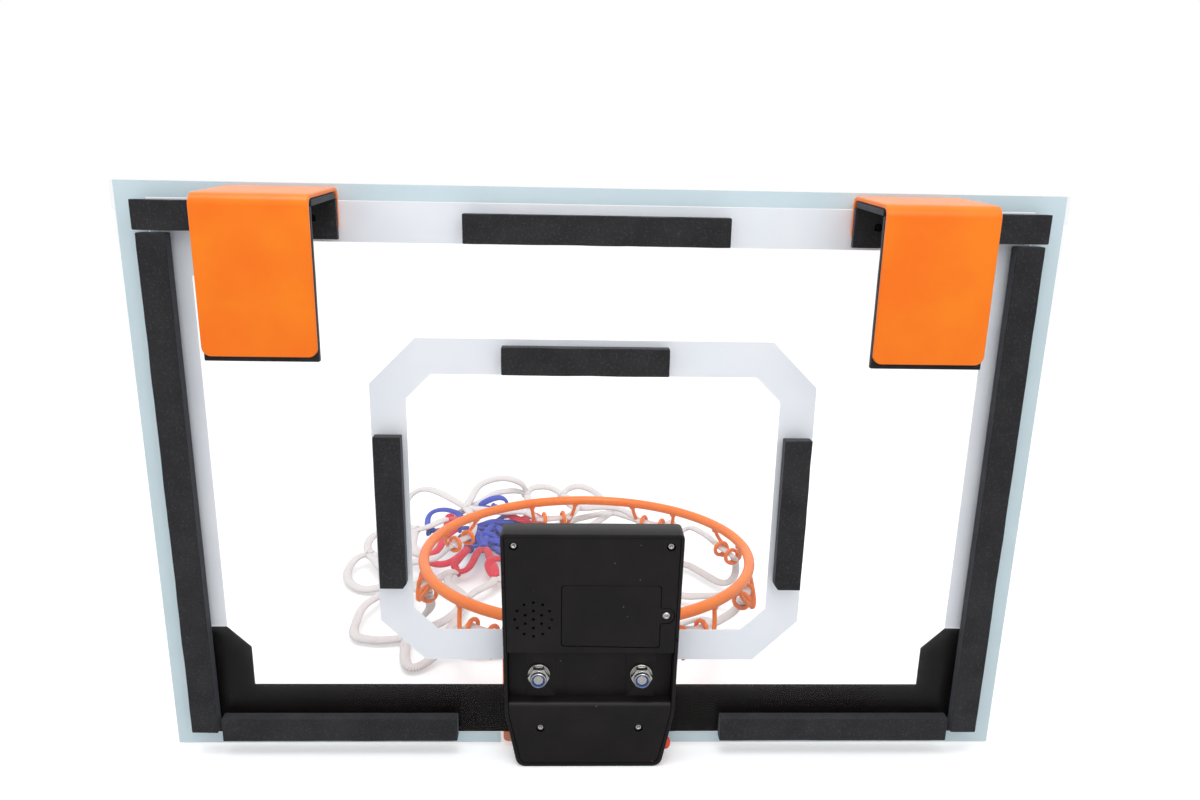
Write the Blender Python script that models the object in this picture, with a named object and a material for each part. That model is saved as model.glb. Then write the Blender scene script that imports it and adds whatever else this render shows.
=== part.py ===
"""Over-the-door mini basketball hoop with an electronic score unit.

Metres, +Z up. X runs right as the player sees the board, Y runs away from the player into the door.
Z = 0 is the top of the door, Y = 0 is the back face of the clear board, X = 0 is its middle.
"""
import math

import bmesh
import bpy
from mathutils import Matrix, Vector

# Clearances
GAP = 0.0003            # between pieces that touch
HOLE_PLAY = 0.0003      # around a shank, all round

# Board
BOARD_W = 0.457
BOARD_H = 0.305
BOARD_T = 0.003
BOARD_CORNER = 0.0012
BOARD_ABOVE_HOOKS = 0.0025

# Printing on the front face
PRINT_T = 0.0002
MARGIN_SIDE = 0.015     # clear edge outside the printing
MARGIN_TOP = 0.008
MARGIN_BOTTOM = 0.007
BORDER_SIDE_W = 0.0178
BORDER_TOP_W = 0.0192
BORDER_CHAMFER = 0.0178
BAND_H = 0.030          # black band along the bottom edge
BAND_END_H = 0.0653     # its raised ends
BAND_END_W = 0.0298
BAND_END_CHAMFER = 0.0122
TARGET_W = 0.2268       # shooter's square, outside
TARGET_H = 0.1786
TARGET_BOTTOM = 0.0526
TARGET_LINE = 0.0182
TARGET_CHAMFER = 0.0235

# Door hooks and their foam lining
HOOK_W = 0.050
HOOK_T = 0.002
HOOK_BEND = 0.005       # outer radius
HOOK_FROM_SIDE = 0.081  # middle of a hook from the board's side edge
HOOK_DEPTH = 0.049      # board's back face to the outside of the rear leg
HOOK_FRONT_LEG = 0.0205
HOOK_REAR_LEG = 0.0707
HOOK_CORNER = 0.004
LINING_T = 0.003
LINING_PROUD = 0.0025   # lining shows below each leg
HOOK_SCREW_Z = 0.0133   # below the top of the hook
HOOK_SCREW_PITCH = 0.026
HOOK_SCREW_D = 0.004
HOOK_SCREW_HEAD_D = 0.0085
HOOK_SCREW_HEAD_H = 0.0024
HOOK_SCREW_TIP = 0.0042
LINING_HOLE_D = 0.0062

# Foam pads on the back of the board
PAD_T = 0.006
PAD_W = 0.014
PAD_TOP_L = 0.1275
PAD_TOP_UNDER = 0.0265        # lower edge, from the top of the board
PAD_CORNER_UNDER = 0.0225
PAD_SIDE_OUT = 0.0122         # pad's outer edge from the board's edge
PAD_SIDE_BOTTOM = 0.0128
PAD_CORNER_SPLIT = 0.0012
PAD_BOTTOM_Z = 0.0075
PAD_BOTTOM_FROM_CASE = 0.027
PAD_BOTTOM_FROM_SIDE = 0.0023 # to the pad along the board's side
PAD_TARGET_TOP_L = 0.083
PAD_TARGET_TOP_SHIFT = 0.0048
PAD_TARGET_TOP_Z = 0.2148
PAD_TARGET_SIDE_L = 0.083
PAD_TARGET_SIDE_Z = 0.0993
PAD_TARGET_SIDE_IN = 0.0024   # from the outer edge of the printed square

# Rim, its bracket and the wire loops that hold the net
RIM_R = 0.111           # to the middle of the rod
RIM_ROD = 0.007
RIM_STANDOFF = 0.0188   # board's front face to the nearest middle of the rod
RIM_DROOP = math.radians(2.9)
SHELF_Z = 0.0645        # middle of the shelf at the board, from the bottom of the board
BRACKET_T = 0.0025
BRACKET_W = 0.096
BRACKET_BOTTOM = 0.0002
BRACKET_CORNER = 0.0025
SHELF_TIP_W = 0.086
GUSSET_X = 0.038
GUSSET_DROP = 0.026
LOOP_UNITS = 8
LOOP_PITCH = math.radians(40)
LOOP_WIRE = 0.0028
LOOP_R = 0.0052
LOOP_IN = 0.006         # middle of a loop, in from the rod
LOOP_DROP = 0.019       # middle of a loop, below the rod
LOOP_NEAR = 0.005       # where a loop's coil starts and ends along the rod
LOOP_FAR = 0.010
LOOP_FOOT = 0.015       # weld, along the rod
LOOP_WELD = 0.0012      # the wire's end sinks into the rod
LOOP_TURN = math.radians(450)
LOOP_STEPS = 10

# Net, drawn out to one side on the surface that the score unit's foot stands on
NET_CORD = 0.004
NET_TOP_HALF = 0.0125
NET_KNEE_HALF = 0.022   # where a top cord bends down to the floor, along the rod
NET_KNEE_DROP = 0.031   # below the rod
NET_PULL = math.radians(35)     # direction of the pull, from the front
# Each row of knots: shift along the pull, radius, height above the floor, rise along the pull
NET_ROWS = ((0.050, 0.114, 0.0100, 0.090), (0.106, 0.096, 0.0110, 0.080), (0.134, 0.064, 0.0050, 0.030),
            (0.146, 0.044, 0.0040, 0.005), (0.148, 0.026, 0.0024, 0.0))

# Rim bolts
BOLT_D = 0.006
BOLT_X = 0.0276
BOLT_Z = 0.0507
BOLT_HEAD_AF = 0.010
BOLT_HEAD_H = 0.004
NUT_AF = 0.010
NUT_HEX_H = 0.0045
NUT_COLLAR_D = 0.0088
NUT_COLLAR_H = 0.0015
INSERT_D = 0.0078
WASHER_D = 0.012
WASHER_T = 0.0012

# Score unit
CASE_TOP = 0.1347
CASE_BOTTOM = -0.0017
CASE_HALF = 0.0471
CASE_BEND_HALF = 0.0455
CASE_BEND_Z = 0.031
CASE_FOOT_HALF = 0.039
CASE_BEND_R = 0.040
CASE_TOP_R = 0.0025
CASE_FOOT_R = 0.0055
CASE_DEPTH = 0.0155
CASE_WALL = 0.0018
CASE_FRONT_T = 0.0015
CASE_EDGE = 0.0005
CASE_NOTCH = 0.0008     # half of the square notches in the rim of the side walls
CASE_NOTCHES = ((1, 0.113), (1, 0.1052), (-1, 0.0756))
BACK_RECESS = 0.0004    # back cover below the case's rim
BACK_T = 0.0018
CHANNEL_LOW = 0.037
CHANNEL_HIGH = 0.0672
CHANNEL_FLOOR = 0.007
CHANNEL_ROUND = 0.003
PLATE_STEP = 0.0006     # raised panels on the channel floor
PLATE_EDGES = ((0.0185, 0.0346), (-0.0129, 0.0127), (-0.0355, -0.0196))
SPEAKER_X = 0.0302
SPEAKER_Z = 0.0868
SPEAKER_D = 0.022
SPEAKER_H = 0.0045
GRILLE_RINGS = ((0.0, 1), (0.0049, 6), (0.0097, 12))
GRILLE_HOLE = 0.0017
COVER_LEFT = -0.036
COVER_RIGHT = 0.0155
COVER_Z = 0.0882         # middle of the battery cover
COVER_T = 0.0014
COVER_R = 0.0015
COVER_LEDGE = 0.0015
COVER_LIFT = 0.030
COVER_SCREW_L = 0.0042
COVER_SCREW_HEAD_H = 0.001
COVER_SCREW_SINK = 0.0009
TAB_X = -0.0391
TAB_Z = 0.089
TAB_R = 0.0044
TRAY_WALL = 0.0015
CELL_D = 0.0104
CELL_L = 0.0440
CELL_NUB_D = 0.0038
CELL_NUB_L = 0.0009
CELL_PITCH = 0.0107
CONTACT_T = 0.0005
CONTACT_R = 0.0040
TRAY_FLOOR = 0.0006
SCREW_D = 0.0019
SCREW_HEAD_D = 0.004
SCREW_HEAD_H = 0.0016
SCREW_L = 0.0082
COUNTERBORE_D = 0.0047
COUNTERBORE_DEPTH = 0.003
CASE_SCREWS = ((0.0403, 0.1278), (-0.0403, 0.1278), (0.0265, 0.0218), (-0.0265, 0.0218))
BOSS_D = 0.0068
POST_D = 0.0054
WINDOW_W = 0.058
WINDOW_H = 0.0185
WINDOW_Z = 0.1193
WINDOW_T = 0.0012
WINDOW_R = 0.0015
DISPLAY_MARGIN = 0.0012
DISPLAY_T = 0.0065
PCB_W = 0.066
PCB_H = 0.0215
PCB_T = 0.0016
BUTTON_Z = 0.008
BUTTON_Y = 0.0078
BUTTON_D = 0.007
BUTTON_TIP = 0.045
BUTTON_DOME = 0.0026
BUTTON_FLANGE_D = 0.0086
BUTTON_FLANGE_T = 0.0012
BUTTON_FLANGE_X = 0.0367
BUTTON_TRAVEL = 0.0012
SWITCH_SIDE = 0.006
SWITCH_T = 0.0036
SWITCH_TIP_D = 0.0032
SWITCH_TIP_L = 0.0012
SWITCH_BOARD_T = 0.0012
SWITCH_BOARD_H = 0.011

# Heights that several pieces share
SIDES = (("left", -1), ("right", 1))
HOOK_X = BOARD_W / 2 - HOOK_FROM_SIDE
HOOK_TOP = LINING_T + GAP + HOOK_T
BOARD_TOP = HOOK_TOP + BOARD_ABOVE_HOOKS
BOARD_BOTTOM = BOARD_TOP - BOARD_H
PRINT_BACK = -(BOARD_T + GAP)
PRINT_FRONT = PRINT_BACK - PRINT_T
FRONT_SEAT = PRINT_FRONT - GAP      # bracket and screw heads sit here
CASE_FLOOR = GAP + CASE_FRONT_T     # inner face of the score unit's front wall
BACK_FACE = CASE_DEPTH - BACK_RECESS
COVER_BACK = BACK_FACE - COVER_T    # inner face of the battery cover
COVER_HALF = CELL_PITCH + CELL_D / 2 + GAP + COVER_LEDGE    # three cells between the ledges
COVER_LOW = COVER_Z - COVER_HALF
COVER_HIGH = COVER_Z + COVER_HALF


def up(height):
    """Z of a height measured from the bottom edge of the board."""
    return BOARD_BOTTOM + height


def srgb(code):
    """Linear colour from a six-figure sRGB code."""
    parts = [int(code[i:i + 2], 16) / 255 for i in (0, 2, 4)]
    return [c / 12.92 if c <= 0.04045 else ((c + 0.055) / 1.055) ** 2.4 for c in parts] + [1.0]


def material(name, code, roughness, metallic=0.0, alpha=1.0):
    mat = bpy.data.materials.new(name)
    mat.use_nodes = True
    shader = mat.node_tree.nodes["Principled BSDF"]
    shader.inputs["Base Color"].default_value = srgb(code)
    shader.inputs["Roughness"].default_value = roughness
    shader.inputs["Metallic"].default_value = metallic
    shader.inputs["Alpha"].default_value = alpha
    return mat


def finish(name, bm, mat, smooth=None):
    """Object from a bmesh, with its faces pointing out."""
    bmesh.ops.recalc_face_normals(bm, faces=bm.faces)
    mesh = bpy.data.meshes.new(name)
    bm.to_mesh(mesh)
    bm.free()
    if mat:
        mesh.materials.append(mat)
    if smooth:
        mesh.shade_smooth()
        mesh.set_sharp_from_angle(angle=math.radians(smooth))
    obj = bpy.data.objects.new(name, mesh)
    bpy.context.scene.collection.objects.link(obj)
    return obj


def gather(parts):
    """One bmesh that holds several separate shapes."""
    whole = bmesh.new()
    for part in parts:
        mesh = bpy.data.meshes.new("shape")
        bmesh.ops.recalc_face_normals(part, faces=part.faces)
        part.to_mesh(mesh)
        part.free()
        whole.from_mesh(mesh)
        bpy.data.meshes.remove(mesh)
    return whole


def rounded(corners, steps=4):
    """Outline through corners (a, b, radius), each one turned by an arc of that radius."""
    loop = []
    for i, (a, b, radius) in enumerate(corners):
        here = Vector((a, b))
        if radius <= 0:
            loop.append(here)
            continue
        back = (Vector(corners[i - 1][:2]) - here).normalized()
        ahead = (Vector(corners[(i + 1) % len(corners)][:2]) - here).normalized()
        half = back.angle(ahead) / 2
        centre = here + (back + ahead).normalized() * radius / math.sin(half)
        start = here + back * radius / math.tan(half) - centre
        end = here + ahead * radius / math.tan(half) - centre
        sweep = math.atan2(start.x * end.y - start.y * end.x, start.dot(end))
        for k in range(steps + 1):
            turn = sweep * k / steps
            loop.append(centre + Vector((start.x * math.cos(turn) - start.y * math.sin(turn),
                                         start.x * math.sin(turn) + start.y * math.cos(turn))))
    return loop


def rectangle(x0, x1, z0, z1, radius=0.0, steps=3):
    return rounded([(x0, z0, radius), (x1, z0, radius), (x1, z1, radius), (x0, z1, radius)], steps)


def prism(loop, low, high, plane="XZ"):
    """Closed solid from a flat outline, extruded from low to high across its plane."""
    place = {"XZ": lambda a, b, c: (a, c, b),
             "YZ": lambda a, b, c: (c, a, b),
             "XY": lambda a, b, c: (a, b, c)}[plane]
    bm = bmesh.new()
    face = bm.faces.new([bm.verts.new(place(a, b, low)) for a, b in loop])
    out = bmesh.ops.extrude_face_region(bm, geom=[face])
    moved = [v for v in out["geom"] if isinstance(v, bmesh.types.BMVert)]
    bmesh.ops.translate(bm, verts=moved, vec=Vector(place(0, 0, high - low)))
    return bm


def block(low, high):
    return prism(rectangle(low[0], high[0], low[2], high[2]), low[1], high[1])


def turned(profile, matrix, steps=16):
    """Solid turned about its own +Z from (radius, height) points that start and end on the axis."""
    bm = bmesh.new()
    verts = [bm.verts.new((r, 0, h)) for r, h in profile]
    edges = [bm.edges.new(pair) for pair in zip(verts, verts[1:])]
    bmesh.ops.spin(bm, geom=verts + edges, cent=(0, 0, 0), axis=(0, 0, 1), angle=math.tau,
                   steps=steps, use_merge=True)
    bmesh.ops.remove_doubles(bm, verts=bm.verts, dist=1e-6)
    bmesh.ops.transform(bm, matrix=matrix, verts=bm.verts)
    return bm


def rod(radius, low, high, matrix, steps=16):
    return turned([(0, low), (radius, low), (radius, high), (0, high)], matrix, steps)


def facing_back(x, z):
    """Frame whose +Z points along world +Y, at a height z above the bottom of the board."""
    return Matrix.Translation((x, 0, up(z))) @ Matrix.Rotation(-math.pi / 2, 4, "X")


def tool(name, parts):
    """Shapes that only cut or join: drawn as wire and left out of the model."""
    obj = finish(name, gather(parts), None)
    obj.hide_render = True
    obj.display_type = "WIRE"
    return obj


def shape(obj, other, operation):
    modifier = obj.modifiers.new(other.name, "BOOLEAN")
    modifier.object = other
    modifier.operation = operation
    modifier.solver = "EXACT"
    return obj


def cut(obj, name, parts):
    return shape(obj, tool(name, parts), "DIFFERENCE")


def join(obj, name, parts):
    return shape(obj, tool(name, parts), "UNION")


def ease(obj, width, segments=2, angle=40):
    """Small rounded edge."""
    modifier = obj.modifiers.new("eased edges", "BEVEL")
    modifier.width = width
    modifier.segments = segments
    modifier.limit_method = "ANGLE"
    modifier.angle_limit = math.radians(angle)
    return obj


def case_outline(inset=0.0):
    """Outline of the score unit from the back, in from its outside by inset."""
    right = [(CASE_FOOT_HALF - inset, CASE_BOTTOM + inset, CASE_FOOT_R - inset / 2),
             (CASE_BEND_HALF - inset, CASE_BEND_Z, CASE_BEND_R),
             (CASE_HALF - inset, CASE_TOP - inset, max(CASE_TOP_R - inset, CASE_EDGE))]
    left = [(-x, z, r) for x, z, r in reversed(right)]
    return [(x, up(z)) for x, z in rounded(right + left, 5)]


def hook_screw_places():
    for side in (-1, 1):
        for shift in (-HOOK_SCREW_PITCH / 2, HOOK_SCREW_PITCH / 2):
            yield side * HOOK_X + shift, HOOK_TOP - HOOK_SCREW_Z - BOARD_BOTTOM


def rim_frame():
    """Frame at the middle of the rim, tilted with it: +Y points at the board."""
    bend = Matrix.Translation((0, -BOARD_T, up(SHELF_Z))) @ Matrix.Rotation(RIM_DROOP, 4, "X")
    return bend @ Matrix.Translation((0, -(RIM_STANDOFF + RIM_R), 0))


def backboard(mats):
    loop = rectangle(-BOARD_W / 2, BOARD_W / 2, BOARD_BOTTOM, BOARD_TOP, BOARD_CORNER)
    board = finish("backboard", prism(loop, -BOARD_T, 0), mats["clear"])
    holes = [rod(BOLT_D / 2 + HOLE_PLAY, -0.01, 0.01, facing_back(side * BOLT_X, BOLT_Z))
             for side in (-1, 1)]
    holes += [rod(HOOK_SCREW_D / 2 + HOLE_PLAY, -0.01, 0.01, facing_back(x, z))
              for x, z in hook_screw_places()]
    return cut(board, "cut_board_holes", holes)


def printed(name, mat, loop, hole=None):
    """Thin printed layer on the front face, a loop or a band between two loops."""
    if hole is None:
        return finish(name, prism(loop, PRINT_FRONT, PRINT_BACK), mat)
    bm = bmesh.new()
    edges = []
    for outline in (loop, hole):
        verts = [bm.verts.new((x, PRINT_FRONT, z)) for x, z in outline]
        edges += [bm.edges.new((v, verts[i - 1])) for i, v in enumerate(verts)]
    faces = bmesh.ops.bridge_loops(bm, edges=edges)["faces"]
    out = bmesh.ops.extrude_face_region(bm, geom=faces)
    moved = [v for v in out["geom"] if isinstance(v, bmesh.types.BMVert)]
    bmesh.ops.translate(bm, verts=moved, vec=(0, PRINT_T, 0))
    return finish(name, bm, mat)


def printing(mats):
    """White border and target, black bottom band and pale clear edge."""
    side = BOARD_W / 2 - MARGIN_SIDE
    inner = side - BORDER_SIDE_W
    top = BOARD_TOP - MARGIN_TOP
    low = up(MARGIN_BOTTOM + BAND_END_H)
    border = [(-side, low), (-side, top), (side, top), (side, low), (inner, low),
              (inner, top - BORDER_TOP_W - BORDER_CHAMFER), (inner - BORDER_CHAMFER, top - BORDER_TOP_W),
              (BORDER_CHAMFER - inner, top - BORDER_TOP_W),
              (-inner, top - BORDER_TOP_W - BORDER_CHAMFER), (-inner, low)]
    white = printed("white_border_print", mats["white"], border)
    cut(white, "cut_border_print", [rod(HOOK_SCREW_D / 2 + HOLE_PLAY, -0.01, 0.01, facing_back(x, z))
                                    for x, z in hook_screw_places()])

    foot = up(MARGIN_BOTTOM)
    end = side - BAND_END_W
    shoulder = foot + BAND_END_H - GAP
    band = [(-side, foot), (side, foot), (side, shoulder), (end + BAND_END_CHAMFER, shoulder),
            (end, shoulder - BAND_END_CHAMFER), (end, foot + BAND_H), (-end, foot + BAND_H),
            (-end, shoulder - BAND_END_CHAMFER), (-end - BAND_END_CHAMFER, shoulder), (-side, shoulder)]
    printed("lower_band_print", mats["black_print"], band)

    def octagon(inset, chamfer):
        half = TARGET_W / 2 - inset
        base = up(TARGET_BOTTOM + inset)
        head = up(TARGET_BOTTOM + TARGET_H - inset)
        return [(-half, base + chamfer), (-half + chamfer, base), (half - chamfer, base),
                (half, base + chamfer), (half, head - chamfer), (half - chamfer, head),
                (-half + chamfer, head), (-half, head - chamfer)]

    slim = TARGET_LINE * (2 - math.sqrt(2))
    target = printed("target_print", mats["white"], octagon(0, TARGET_CHAMFER),
                     octagon(TARGET_LINE, TARGET_CHAMFER - slim))
    cut(target, "cut_target_print", [rod(BOLT_D / 2 + HOLE_PLAY, -0.01, 0.01, facing_back(s * BOLT_X, BOLT_Z))
                                     for s in (-1, 1)])
    edge = rectangle(-BOARD_W / 2, BOARD_W / 2, BOARD_BOTTOM, BOARD_TOP)
    field = rectangle(-side - GAP, side + GAP, foot - GAP, top + GAP)
    printed("edge_print", mats["pale_print"], edge, field)


def door_hook(name, side, mats):
    """Strip bent over the door: short front leg, top and long rear leg."""
    front, back, top = GAP, HOOK_DEPTH, HOOK_TOP
    path = rounded([(front, top - HOOK_FRONT_LEG, 0), (front, top, HOOK_BEND),
                    (back, top, HOOK_BEND), (back, top - HOOK_REAR_LEG, 0)], 6)
    low_x, high_x = side * HOOK_X - HOOK_W / 2, side * HOOK_X + HOOK_W / 2
    bm = bmesh.new()
    rails = [[bm.verts.new((x, y, z)) for y, z in path] for x in (low_x, high_x)]
    for i in range(len(path) - 1):
        bm.faces.new((rails[0][i], rails[0][i + 1], rails[1][i + 1], rails[1][i]))
    corners = [rail[i] for rail in rails for i in (0, -1)]
    bmesh.ops.bevel(bm, geom=corners, offset=HOOK_CORNER, segments=5, profile=0.5,
                    affect="VERTICES", clamp_overlap=True)
    bmesh.ops.recalc_face_normals(bm, faces=bm.faces)
    if sum(f.normal.z for f in bm.faces if abs(f.normal.z) > 0.9) < 0:
        bmesh.ops.reverse_faces(bm, faces=bm.faces)
    mesh = bpy.data.meshes.new(name)
    bm.to_mesh(mesh)
    bm.free()
    mesh.materials.append(mats["orange"])
    mesh.shade_smooth()
    mesh.set_sharp_from_angle(angle=math.radians(30))
    hook = bpy.data.objects.new(name, mesh)
    bpy.context.scene.collection.objects.link(hook)
    wall = hook.modifiers.new("plate", "SOLIDIFY")
    wall.thickness = HOOK_T
    wall.offset = -1
    wall.use_even_offset = True
    ease(hook, 0.0004, 1, 50)
    holes = [rod(HOOK_SCREW_D / 2 + HOLE_PLAY, -0.001, 0.004, facing_back(x, z))
             for x, z in hook_screw_places() if x * side > 0]
    return cut(hook, f"cut_{name}", holes)


def hook_linings(word, side, mats):
    """Foam inside a hook: front leg, top and rear leg."""
    low_x, high_x = side * HOOK_X - HOOK_W / 2, side * HOOK_X + HOOK_W / 2
    front = GAP + HOOK_T + GAP
    back = HOOK_DEPTH - HOOK_T - GAP
    front_lining = finish(f"front_lining_{word}", block(
        (low_x, front, HOOK_TOP - HOOK_FRONT_LEG - LINING_PROUD),
        (high_x, front + LINING_T, 0)), mats["foam"])
    cut(front_lining, f"cut_front_lining_{word}",
        [rod(LINING_HOLE_D / 2, 0, 0.01, facing_back(x, z)) for x, z in hook_screw_places() if x * side > 0])
    finish(f"top_lining_{word}", block(
        (low_x, GAP + HOOK_BEND + GAP, 0), (high_x, HOOK_DEPTH - HOOK_BEND - GAP, LINING_T)), mats["foam"])
    finish(f"rear_lining_{word}", block(
        (low_x, back - LINING_T, HOOK_TOP - HOOK_REAR_LEG - LINING_PROUD), (high_x, back, 0)), mats["foam"])


def hook_screws(mats):
    """Truss heads on the front face, tips inside the holes of the foam."""
    half = HOOK_SCREW_HEAD_D / 2
    tip, seat, rise = HOOK_SCREW_TIP, FRONT_SEAT, HOOK_SCREW_HEAD_H
    profile = [(0, seat - rise), (half * 0.45, seat - rise * 0.93), (half * 0.8, seat - rise * 0.62),
               (half, seat - rise * 0.15), (half, seat), (HOOK_SCREW_D / 2, seat),
               (HOOK_SCREW_D / 2, tip - 0.0004), (HOOK_SCREW_D / 2 - 0.0004, tip), (0, tip)]
    for number, (x, z) in enumerate(hook_screw_places(), 1):
        finish(f"hook_screw_{number}", turned(profile, facing_back(x, z), 14), mats["zinc"], 35)


def pads(mats):
    """Foam strips glued to the back of the board."""
    edge = BOARD_W / 2 - PAD_SIDE_OUT
    hook_edge = HOOK_X + HOOK_W / 2 + 2 * GAP
    top_z, corner_z = BOARD_H - PAD_TOP_UNDER, BOARD_H - PAD_CORNER_UNDER
    target = TARGET_W / 2 - PAD_TARGET_SIDE_IN
    bottom = (CASE_BEND_HALF + PAD_BOTTOM_FROM_CASE, edge - PAD_W - PAD_BOTTOM_FROM_SIDE)
    spans = {"pad_top": (-PAD_TOP_L / 2, PAD_TOP_L / 2, top_z, top_z + PAD_W),
             "pad_target_top": (PAD_TARGET_TOP_SHIFT - PAD_TARGET_TOP_L / 2,
                                PAD_TARGET_TOP_SHIFT + PAD_TARGET_TOP_L / 2,
                                PAD_TARGET_TOP_Z, PAD_TARGET_TOP_Z + PAD_W)}
    for word, side in SIDES:
        spans[f"pad_corner_{word}"] = (side * hook_edge, side * (edge + PAD_CORNER_SPLIT),
                                       corner_z, corner_z + PAD_W)
        spans[f"pad_side_{word}"] = (side * (edge - PAD_W), side * edge,
                                     PAD_SIDE_BOTTOM, corner_z - PAD_CORNER_SPLIT)
        spans[f"pad_bottom_{word}"] = (side * bottom[0], side * bottom[1],
                                       PAD_BOTTOM_Z, PAD_BOTTOM_Z + PAD_W)
        spans[f"pad_target_{word}"] = (side * (target - PAD_W), side * target,
                                       PAD_TARGET_SIDE_Z, PAD_TARGET_SIDE_Z + PAD_TARGET_SIDE_L)
    for name, (x0, x1, z0, z1) in spans.items():
        finish(name, block((min(x0, x1), GAP, up(z0)), (max(x0, x1), GAP + PAD_T, up(z1))), mats["foam"])


def rim(mats):
    """Round rod bent into a ring, with the wire units for the net welded under it."""
    bm = bmesh.new()
    place = Matrix.Translation((RIM_R, 0, 0)) @ Matrix.Rotation(math.pi / 2, 4, "X")
    circle = bmesh.ops.create_circle(bm, segments=10, radius=RIM_ROD / 2, matrix=place)
    edges = list({e for v in circle["verts"] for e in v.link_edges})
    bmesh.ops.spin(bm, geom=circle["verts"] + edges, cent=(0, 0, 0), axis=(0, 0, 1),
                   angle=math.tau, steps=64, use_merge=True)
    bmesh.ops.remove_doubles(bm, verts=bm.verts, dist=1e-6)
    bmesh.ops.transform(bm, matrix=rim_frame(), verts=bm.verts)
    ring = finish("rim_ring", bm, mats["orange"], 60)
    half = loop_path()
    path = half + [(-along, inwards, rise) for along, inwards, rise in reversed(half)]
    units = [wire([rim_frame() @ round_rim(angle, *point) for point in path], LOOP_WIRE / 2, 5)
             for angle in loop_angles()]
    join(ring, "join_net_loops", units)


def rim_bracket(mats):
    """Steel plate bolted to the board, with a shelf and two gussets out to the ring."""
    frame = rim_frame()
    to_board = RIM_R + RIM_STANDOFF
    face = FRONT_SEAT - BRACKET_T
    half = BRACKET_W / 2
    plate = finish("rim_bracket", prism(
        rectangle(-half, half, up(BRACKET_BOTTOM), up(SHELF_Z), BRACKET_CORNER),
        face, FRONT_SEAT), mats["orange"])
    tip = SHELF_TIP_W / 2
    wall = to_board + BOARD_T + FRONT_SEAT - BRACKET_T / 2
    shelf = prism([(-half + BRACKET_CORNER, wall), (half - BRACKET_CORNER, wall), (tip, RIM_R * 0.9),
                   (-tip, RIM_R * 0.9)], -BRACKET_T / 2, BRACKET_T / 2, "XY")
    gussets = []
    for side in (-1, 1):
        x0 = side * GUSSET_X - BRACKET_T / 2
        gussets.append(prism([(wall, 0), (RIM_R * 0.9, 0), (RIM_R * 0.9, -0.004), (RIM_R + RIM_ROD, -0.006),
                              (wall, -GUSSET_DROP)], x0, x0 + BRACKET_T, "YZ"))
    for index, part in enumerate([shelf] + gussets):
        bmesh.ops.transform(part, matrix=frame, verts=part.verts)
        join(plate, f"join_bracket_{index}", [part])
    clear = rod(RIM_R + RIM_ROD / 2 + GAP, -0.03, 0.03, frame, 96)
    cut(plate, "cut_bracket_ring", [clear])
    return cut(plate, "cut_bracket_holes", [rod(BOLT_D / 2 + HOLE_PLAY, -0.02, 0, facing_back(s * BOLT_X, BOLT_Z))
                                            for s in (-1, 1)])


def loop_angles():
    """Angle of each wire unit round the ring, from the front, with a gap at the bracket."""
    return [(i - (LOOP_UNITS - 1) / 2) * LOOP_PITCH for i in range(LOOP_UNITS)]


def round_rim(angle, along, inwards, rise):
    """Point beside the rod at an angle round the ring, in the rim's own frame."""
    turn = angle + along / RIM_R
    radius = RIM_R - inwards
    return Vector((radius * math.sin(turn), -radius * math.cos(turn), rise))


def loop_path():
    """Half of a wire unit, from its weld to the middle of its foot: (along, in, rise)."""
    points = [(-LOOP_FOOT, 0.0, -(RIM_ROD / 2 - LOOP_WELD)),
              (-LOOP_FOOT + 0.0012, 0.0, -0.0080), (-LOOP_FOOT + 0.0030, 0.0004, -0.0125)]
    for i in range(LOOP_STEPS + 1):
        share = i / LOOP_STEPS
        turn = math.pi + LOOP_TURN * share
        points.append((-LOOP_FAR + (LOOP_FAR - LOOP_NEAR) * share,
                       LOOP_IN + LOOP_R * math.cos(turn), -LOOP_DROP + LOOP_R * math.sin(turn)))
    return points


def wire(path, radius, sides):
    """Round wire swept along a path of points, with flat ends."""
    bm = bmesh.new()
    ahead = (path[1] - path[0]).normalized()
    across = ahead.orthogonal().normalized()
    rings = []
    for i, point in enumerate(path):
        before = path[max(i - 1, 0)]
        after = path[min(i + 1, len(path) - 1)]
        turn = ahead.rotation_difference((after - before).normalized())
        across = turn @ across
        ahead = (after - before).normalized()
        beside = ahead.cross(across)
        rings.append([bm.verts.new(point + radius * (across * math.cos(a) + beside * math.sin(a)))
                      for a in (math.tau * k / sides for k in range(sides))])
    for first, second in zip(rings, rings[1:]):
        for k in range(sides):
            bm.faces.new((first[k - 1], first[k], second[k], second[k - 1]))
    bm.faces.new(rings[0])
    bm.faces.new(rings[-1])
    return bm


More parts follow.
